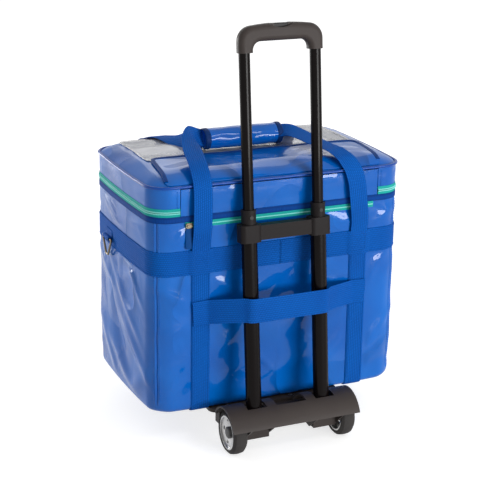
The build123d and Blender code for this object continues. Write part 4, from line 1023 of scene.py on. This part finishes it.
grip_angle = np.linspace(0, 2 * math.pi, 48, endpoint=False)
sleeve_x = grip_x + np.linspace(-grip_half, grip_half, 90)
rows = sleeve(sleeve_x[:, None], grip_angle[None])
tucked = [np.stack([np.full(48, grip_x + end * (grip_half - 1.5)), mid_y + (rows[k, :, 1] - mid_y) * 0.72,
                    grip_z + (rows[k, :, 2] - grip_z) * 0.72], -1) for end, k in ((-1, 0), (1, -1))]
rows = np.concatenate([tucked[0][None], rows, tucked[1][None]])
grip_sleeve = grid_mesh("grip_sleeve", rows, "lid", tarpaulin, close_columns=True, cap_rows=True)
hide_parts("carry_grip", "grip_core")
for end, name in ((-1, "left"), (1, "right")):
    trim_x = grip_x + end * (grip_half - 4.6) + np.linspace(-4.8, 4.8, 9)
    stand = np.array([0.0, 0.8, 1.0, 1.0, 1.0, 1.0, 1.0, 0.8, 0.0])[:, None, None]
    base = sleeve(trim_x[:, None], grip_angle[None])
    away = unit(base - np.stack([base[..., 0], np.full_like(base[..., 0], mid_y), np.full_like(base[..., 0], grip_z)], -1))
    outer_rows = base + away * stand * 1.1
    inner = base - away * 1.2
    trim = grid_mesh(f"grip_binding_{name}", np.concatenate([outer_rows, inner[::-1]]), "lid", binding_cloth,
                     close_rows=True, close_columns=True)
    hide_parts("grip_trims")
print("grip made")

# %% [markdown]
# ## Window and flap on the lid
#
# The far half of the lid carries a clear film pocket. A flap of the bag's own tarpaulin covers its
# near edge. Both are thin sheets laid on the crown: a rectangle with round far corners is mapped to
# the crown's surface and given a little thickness. A dark binding runs round the flap's free edges.

# %% Window film and flap


def laid_sheet(name, near_ends, far_ends, y_low, y_high, near_corner, far_corner, lift, thick, material):
    """Sheet between two edges, its corners rounded, laid over the crown; u runs along X and v along Y.

    An edge is pulled in at its ends by corner - sqrt(corner^2 - d^2), with d the distance into the corner."""
    u = np.linspace(0, 1, 130)[None]
    v = np.linspace(0, 1, 46)[:, None]
    near_x = near_ends[0] + (near_ends[1] - near_ends[0]) * u
    far_x = far_ends[0] + (far_ends[1] - far_ends[0]) * u
    x = near_x + (far_x - near_x) * v

    def pulled(corner, ends):
        into = (corner - (ends[1] - ends[0]) * np.minimum(u, 1 - u)).clip(0)
        return corner - np.sqrt((corner ** 2 - into ** 2).clip(0))

    low = y_low + pulled(near_corner, near_ends)
    y = low + (y_high - pulled(far_corner, far_ends) - low) * v
    ripple = 0.35 * np.sin(x / 21 + y / 33) * np.sin(y / 17 - x / 61 + 0.6)
    top = crown_at(x, y, lift + thick + 0.35 + ripple)
    bottom = top - [0, 0, thick]
    piece = grid_mesh(name, np.concatenate([bottom[::-1], top]), "lid", material, close_rows=True, cap_columns=True)
    return piece, top


def bound_edge(name, top, width, thick, tuck, material, lift, all_round):
    """Flat binding on a sheet's edge: the edge line moved in by tuck, with its width lying on the crown."""
    line = np.concatenate([top[:, 0], top[-1, 1:-1], top[::-1, -1]])
    if all_round:
        line = np.concatenate([line, top[0, -2::-1]])
    line = resample(line, 420, 2)
    line = line[:-1] if all_round else line
    ahead = np.roll(line, -1, 0) - np.roll(line, 1, 0) if all_round else np.gradient(line, axis=0)
    across = unit(np.cross(ahead, [0.0, 0.0, 1.0]))
    line = line + across * tuck
    line = crown_at(line[:, 0], line[:, 1], lift)
    return ribbon(name, line, across, width, thick, "lid", material, closed=all_round)


def flat_size(top):
    """Width and length of a sheet laid flat, in metres: its middle row and middle column walked."""
    return walk(top[top.shape[0] // 2])[-1] * MM, walk(top[:, top.shape[1] // 2])[-1] * MM


window_sheet, window_top = laid_sheet("window_film", (-184, 184), (-182, 182), mid_y - 30, mid_y + 122, 4, 14, 0.2,
                                      0.5, film)
window_edge = bound_edge("window_weld", window_top, 5.0, 1.3, 2.0, film, 1.1, True)
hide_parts("document_window")
flap_sheet, flap_top = laid_sheet("lid_flap", (-192, 178), (-180, 186), near_y + 2.5, mid_y - 24, 8, 14, 1.3, 0.9,
                                  tarpaulin)
flap_edge = bound_edge("flap_binding", flap_top, 6.5, 2.4, 2.6, binding_cloth, 2.6, False)
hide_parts("document_flap")
print("window and flap", [round(v, 3) for v in (*flat_size(window_top), *flat_size(flap_top))])

# %% [markdown]
# ## The strap that holds the bag on the trolley
#
# A webbing strap is sewn to the two upright straps and passes in front of the trolley's tubes.
# It is pulled tight, so it runs straight between the corners it bends over.

# %% Trolley strap
near_wall_y = near_y - near_bow
strap_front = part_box("trolley_strap")[0].y / MM + webbing / 2
strap_mid_z = (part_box("trolley_strap")[0].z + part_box("trolley_strap")[1].z) / 2 / MM
tube_reach, strap_lift = 13.8, 11.0
bend = np.radians(np.linspace(205, 270, 8))
left_bend = np.stack([trolley_x - 59.5 + tube_reach * np.cos(bend), strap_front + tube_reach * (1 + np.sin(bend)),
                      strap_mid_z + strap_lift + 0 * bend], -1)
right_bend = left_bend[::-1] * [-1, 1, 1] + [2 * trolley_x, 0, 0]
left_hold = [(-strap_x - 14, near_wall_y - 3.6, strap_mid_z), (-strap_x + 10, near_wall_y - 3.8, strap_mid_z + 1)]
right_hold = [(strap_x - 10, near_wall_y - 3.8, strap_mid_z + 1), (strap_x + 14, near_wall_y - 3.6, strap_mid_z)]
line = resample(np.concatenate([left_hold, left_bend, right_bend, right_hold]), 220, 6)
trolley_webbing = ribbon("trolley_webbing", line, np.broadcast_to([0.0, 0.0, 1.0], line.shape), 40.0, 1.7, "bag",
                         webbing_cloth)
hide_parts("trolley_strap")
print("trolley strap made")

# %% [markdown]
# ## Ring loops and pullers
#
# Each ring hangs in a short fold of webbing on the belt, a small ribbon bent round the ring. Each
# zip slider has a cloth tab, a rounded pillow in the puller's place.

# %% Webbing folds that hold the rings
ring_y, ring_z, roll_x = mid_y + 50.0, 303.0, 226.2
for side in (-1, 1):
    angle = np.linspace(-0.55, 1.18, 26) * math.pi
    around = np.stack([side * (roll_x + 3.1 * np.cos(angle)), ring_y + 0 * angle, ring_z + 3.1 * np.sin(angle)], -1)
    tail = np.array([[side * (roll_x - 4.6), ring_y, ring_z + 9.0], [side * (roll_x - 4.6), ring_y, ring_z + 14.0]])
    head = np.array([[side * (roll_x - 4.4), ring_y, ring_z - 6.0]])
    line = resample(np.concatenate([head, around, tail]), 60, 2)
    across = np.broadcast_to([0.0, 1.0 * side, 0.0], line.shape)
    roll = ribbon("ring_fold_left" if side < 0 else "ring_fold_right", line, across, 28.0, 1.5, "bag", webbing_cloth)
    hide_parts("ring_tabs")

# %% Cloth tabs on the sliders


def cloth_tab(name, node, body, bulge):
    """Rounded pillow in the puller's box: |x|^6 + |z|^8 outline, fullest along its middle."""
    low, high = (np.array(corner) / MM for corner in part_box(node))
    middle, half = (low + high) / 2, (high - low) / 2
    angle = np.linspace(0, 2 * math.pi, 36, endpoint=False)[None]
    share = np.linspace(-1, 1, 15)[:, None]
    radius = np.sqrt((1 - share ** 2).clip(0)) ** 0.5
    outline_x = np.sign(np.cos(angle)) * np.abs(np.cos(angle)) ** 0.35
    outline_z = np.sign(np.sin(angle)) * np.abs(np.sin(angle)) ** 0.25
    shrinkage = 1 - 0.22 * np.abs(share) ** 3
    x = middle[0] + half[0] * outline_x * radius.clip(0.75) * shrinkage
    z = middle[2] + half[2] * outline_z * (1 - 0.05 * np.abs(share) ** 3)
    y = middle[1] - bulge * half[1] * share + 0 * angle
    tab = grid_mesh(name, np.stack([x + 0 * y, y, z + 0 * y], -1), body, puller_cloth, close_columns=True,
                    cap_rows=True, flip=bulge < 0)
    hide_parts(node)
    return tab


cloth_tab("pocket_tab", "pocket_puller", "pocket_slider", 1)
cloth_tab("lid_tab_left", "lid_puller_left", "lid_slider_left", 1)
cloth_tab("lid_tab_right", "lid_puller_right", "lid_slider_right", 1)
print("small pieces made")

# %% [markdown]
# ## Stitching
#
# Sewing thread shows as rows of short raised dashes. One dash is a small pointed capsule with a
# few faces. All dashes of a row are placed at once by adding a rotated copy of the capsule at each
# place along the line.

# %% Rows of stitches


def stitch_row(name, line, outward, body, pitch=4.2, length=2.9, radius=0.42, material=None):
    """Capsules along a line: each has four rings of four points, scaled by 0.35, 1, 1 and 0.35."""
    total = walk(line)
    count = max(2, int(total[-1] / pitch))
    at = (np.arange(count) + 0.5) * total[-1] / count
    place = np.stack([np.interp(at, total, line[:, k]) for k in range(3)], -1)
    ahead = np.stack([np.interp(at + 0.5, total, line[:, k]) for k in range(3)], -1)
    back = np.stack([np.interp(at - 0.5, total, line[:, k]) for k in range(3)], -1)
    along = unit(ahead - back)
    out = np.stack([np.interp(at, total, outward[:, k]) for k in range(3)], -1)
    out = unit(out - (out * along).sum(-1, keepdims=True) * along)
    sideways = np.cross(out, along)
    angle = np.arange(5) * 2 * math.pi / 5
    rings = []
    for share, size in ((-0.5, 0.35), (-0.3, 1.0), (0.3, 1.0), (0.5, 0.35)):
        ring = (place[:, None] + along[:, None] * share * length
                + radius * size * (sideways[:, None] * np.cos(angle)[None, :, None]
                                   + out[:, None] * np.sin(angle)[None, :, None]))
        rings.append(ring)
    points = np.stack(rings, 1)
    vertices = points.reshape(-1, 3) * MM
    base = (np.arange(count) * 20)[:, None, None, None]
    ring_index = (np.arange(3) * 5)[None, :, None, None]
    k = np.arange(5)
    quad = np.stack([k, (k + 1) % 5, (k + 1) % 5 + 5, k + 5], -1)[None, None]
    faces = (base + ring_index + quad).reshape(-1, 4).tolist()
    starts = (np.arange(count) * 20)
    faces += (starts[:, None] + np.arange(5)[::-1][None]).tolist()
    faces += (starts[:, None] + 15 + np.arange(5)[None]).tolist()
    mesh = bpy.data.meshes.new(name)
    mesh.from_pydata(vertices.tolist(), [], faces)
    mesh.shade_smooth()
    piece = bpy.data.objects.new(name, mesh)
    bpy.context.scene.collection.objects.link(piece)
    mesh.materials.append(material or thread_finish)
    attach(piece, body)
    return piece


seam_count = 0
for place in seam_places:
    z = np.linspace(bag_bottom + 24, band_low - 3, 120)
    z = z[(z < belt_bottom - 1) | (z > belt_top + 1)]
    for gap in (-5.0, 5.0):
        s = np.full_like(z, place + gap)
        _, _, nx, ny = plan(s)
        stitch_row(f"seam_thread_{seam_count}", wall(s, z, 0.5), np.stack([nx, ny, 0 * nx], -1), "bag")
        seam_count += 1
for height in (belt_bottom + 3, belt_top - 3):
    line = wall(s_walk, height, 1.9 + 2.5 * over_straps(s_walk))
    _, _, nx, ny = plan(s_walk)
    stitch_row(f"belt_thread_{int(height)}", line, np.stack([nx, ny, 0 * nx], -1), "bag")


def crossed_box(name, x, z_low, z_high, half, stand):
    """Box of stitches with a cross in it on the near wall, sewn where two straps meet."""
    corners = [(x - half, z_low), (x + half, z_low), (x + half, z_high), (x - half, z_high), (x - half, z_low),
               (x + half, z_high), (x + half, z_low), (x - half, z_high)]
    flat = resample([(cx, 0.0, cz) for cx, cz in corners], 120)
    line = wall(near_s(flat[:, 0]), flat[:, 2], stand)
    stitch_row(name, line, np.broadcast_to([0.0, -1.0, 0.0], line.shape), "bag", 3.4, 2.5, 0.45)


for side, name in ((-1, "left"), (1, "right")):
    crossed_box(f"belt_cross_{name}", side * strap_x, belt_bottom + 6, belt_top - 6, 11.5, 4.4)
    crossed_box(f"strap_cross_{name}", side * (strap_x + 1), strap_mid_z - 15, strap_mid_z + 15, 11.0, 3.9)
    for gap in (-12.8, 12.8):
        z = np.concatenate([np.linspace(bag_bottom + 16, strap_mid_z - 21, 60), np.linspace(strap_mid_z + 21, belt_bottom - 2, 40)])
        line = wall(near_s(side * strap_x + gap) + 0 * z, z, 2.3)
        stitch_row(f"strap_thread_{name}_{int(gap)}", line, np.broadcast_to([0.0, -1.0, 0.0], line.shape), "bag")
skirt_seam = lid_zip_end + 3.0
for side, name in ((-1, "left"), (1, "right")):
    z = np.linspace(zip_z + 6, piping_z - 5, 30)
    for gap in (-3.0, 3.0):
        place = near_s(side * skirt_seam + gap) + 0 * z
        stitch_row(f"skirt_thread_{name}_{int(gap)}", wall(place, z, 0.5), np.broadcast_to([0.0, -1.0, 0.0], (30, 3)),
                   "lid" if side * gap > 0 else "bag")
print("stitched seams", seam_count)

# %% [markdown]
# ## Camera, floor and light
#
# The camera stands where the photograph's camera stood, found from the bag's edges. The light is
# plain: an even surround, and lamps placed where the walls and the lid mirror them, so that every
# fold catches a glint. The floor is pale, keeps the object's shadow, and adds a little light of its
# own only where it is looked at or mirrored, which makes it white without lighting the bag.

# %% Camera
azimuth, elevation, roll = math.radians(-23.89), math.radians(17.84), math.radians(0.71)
back = np.array([math.sin(azimuth) * math.cos(elevation), -math.cos(azimuth) * math.cos(elevation), math.sin(elevation)])
right = unit(np.cross(-back, [0, 0, 1]))
up = np.cross(right, -back)
right, up = math.cos(roll) * right + math.sin(roll) * up, -math.sin(roll) * right + math.cos(roll) * up
camera_data = bpy.data.cameras.new("photo_camera")
camera_data.sensor_fit = "HORIZONTAL"
camera_data.sensor_width = 36.0
camera_data.lens = 1426.42 / 480 * 36.0
camera_data.clip_end = 30.0
camera = bpy.data.objects.new("photo_camera", camera_data)
bpy.context.scene.collection.objects.link(camera)
eye = np.array([-928.9, -2036.7, 1017.25]) * MM
camera.matrix_world = Matrix([
    [right[0], up[0], back[0], eye[0]], [right[1], up[1], back[1], eye[1]], [right[2], up[2], back[2], eye[2]],
    [0, 0, 0, 1],
])
bpy.context.scene.camera = camera
print("lens", round(camera_data.lens, 2))

# %% Floor
floor_mesh = bpy.data.meshes.new("floor")
reach = 14.0
floor_mesh.from_pydata([(-reach, -reach, 0), (reach, -reach, 0), (reach, reach, 0), (-reach, reach, 0)], [], [(0, 1, 2, 3)])
floor = bpy.data.objects.new("floor", floor_mesh)
bpy.context.scene.collection.objects.link(floor)
floor_finish = bpy.data.materials.new("pale floor")
floor_finish.use_nodes = True
floor_shader = floor_finish.node_tree.nodes["Principled BSDF"]
floor_shader.inputs["Base Color"].default_value = (0.64, 0.64, 0.64, 1)
floor_shader.inputs["Roughness"].default_value = 0.9
floor_shader.inputs["Specular IOR Level"].default_value = 0.1
floor_shader.inputs["Emission Color"].default_value = (1, 1, 1, 1)
floor_tree = floor_finish.node_tree
floor_paths = floor_tree.nodes.new("ShaderNodeLightPath")
floor_seen = math_node(floor_tree, "MAXIMUM", floor_paths.outputs["Is Camera Ray"], math_node(
    floor_tree, "MAXIMUM", floor_paths.outputs["Is Glossy Ray"], floor_paths.outputs["Is Transmission Ray"]))
floor_glow = math_node(floor_tree, "MULTIPLY", floor_seen, 0.70)
floor_tree.links.new(floor_glow, floor_shader.inputs["Emission Strength"])
floor_mesh.materials.append(floor_finish)

# %% Surround and lamps
world = bpy.data.worlds.new("surround")
bpy.context.scene.world = world
world.use_nodes = True
tree = world.node_tree
tree.nodes.clear()
seen = tree.nodes.new("ShaderNodeBackground")
seen.inputs["Color"].default_value = (1, 1, 1, 1)
seen.inputs["Strength"].default_value = 1.0
lighting = tree.nodes.new("ShaderNodeBackground")
lighting.inputs["Color"].default_value = (1, 1, 1, 1)
lighting.inputs["Strength"].default_value = 0.46
paths = tree.nodes.new("ShaderNodeLightPath")
shown = math_node(tree, "MAXIMUM", paths.outputs["Is Camera Ray"],
                  math_node(tree, "MAXIMUM", paths.outputs["Is Glossy Ray"], paths.outputs["Is Transmission Ray"]))
mixed = tree.nodes.new("ShaderNodeMixShader")
world_output = tree.nodes.new("ShaderNodeOutputWorld")
link_up(tree, (shown, mixed.inputs[0]), (lighting.outputs[0], mixed.inputs[1]), (seen.outputs[0], mixed.inputs[2]),
        (mixed.outputs[0], world_output.inputs[0]))


def lamp(name, place, aim, width, height, power):
    """Area lamp of a width and height at a place, turned to face aim."""
    data = bpy.data.lights.new(name, "AREA")
    data.shape = "RECTANGLE"
    data.size, data.size_y = width, height
    data.energy = power
    thing = bpy.data.objects.new(name, data)
    bpy.context.scene.collection.objects.link(thing)
    place, aim = np.array(place), np.array(aim)
    away = unit(place - aim)
    side = unit(np.cross([0, 0, 1.0], away))
    top = np.cross(away, side)
    thing.matrix_world = Matrix([[side[k], top[k], away[k], place[k]] for k in range(3)] + [[0, 0, 0, 1]])
    return thing


lamp("front_lamp", (1.15, -2.85, 0.50), (0, 0, 0.25), 1.7, 0.55, 56)
lamp("high_lamp", (0.9, -1.9, 2.3), (0, 0, 0.25), 0.6, 0.6, 10)
lamp("left_lamp", (-1.45, 2.5, 0.50), (0, 0, 0.25), 1.3, 0.6, 40)
lamp("back_lamp", (1.5, 3.4, 2.6), (0, 0, 0.4), 2.2, 2.2, 20)
bpy.context.scene.view_settings.view_transform = "Standard"
print("light and camera set")
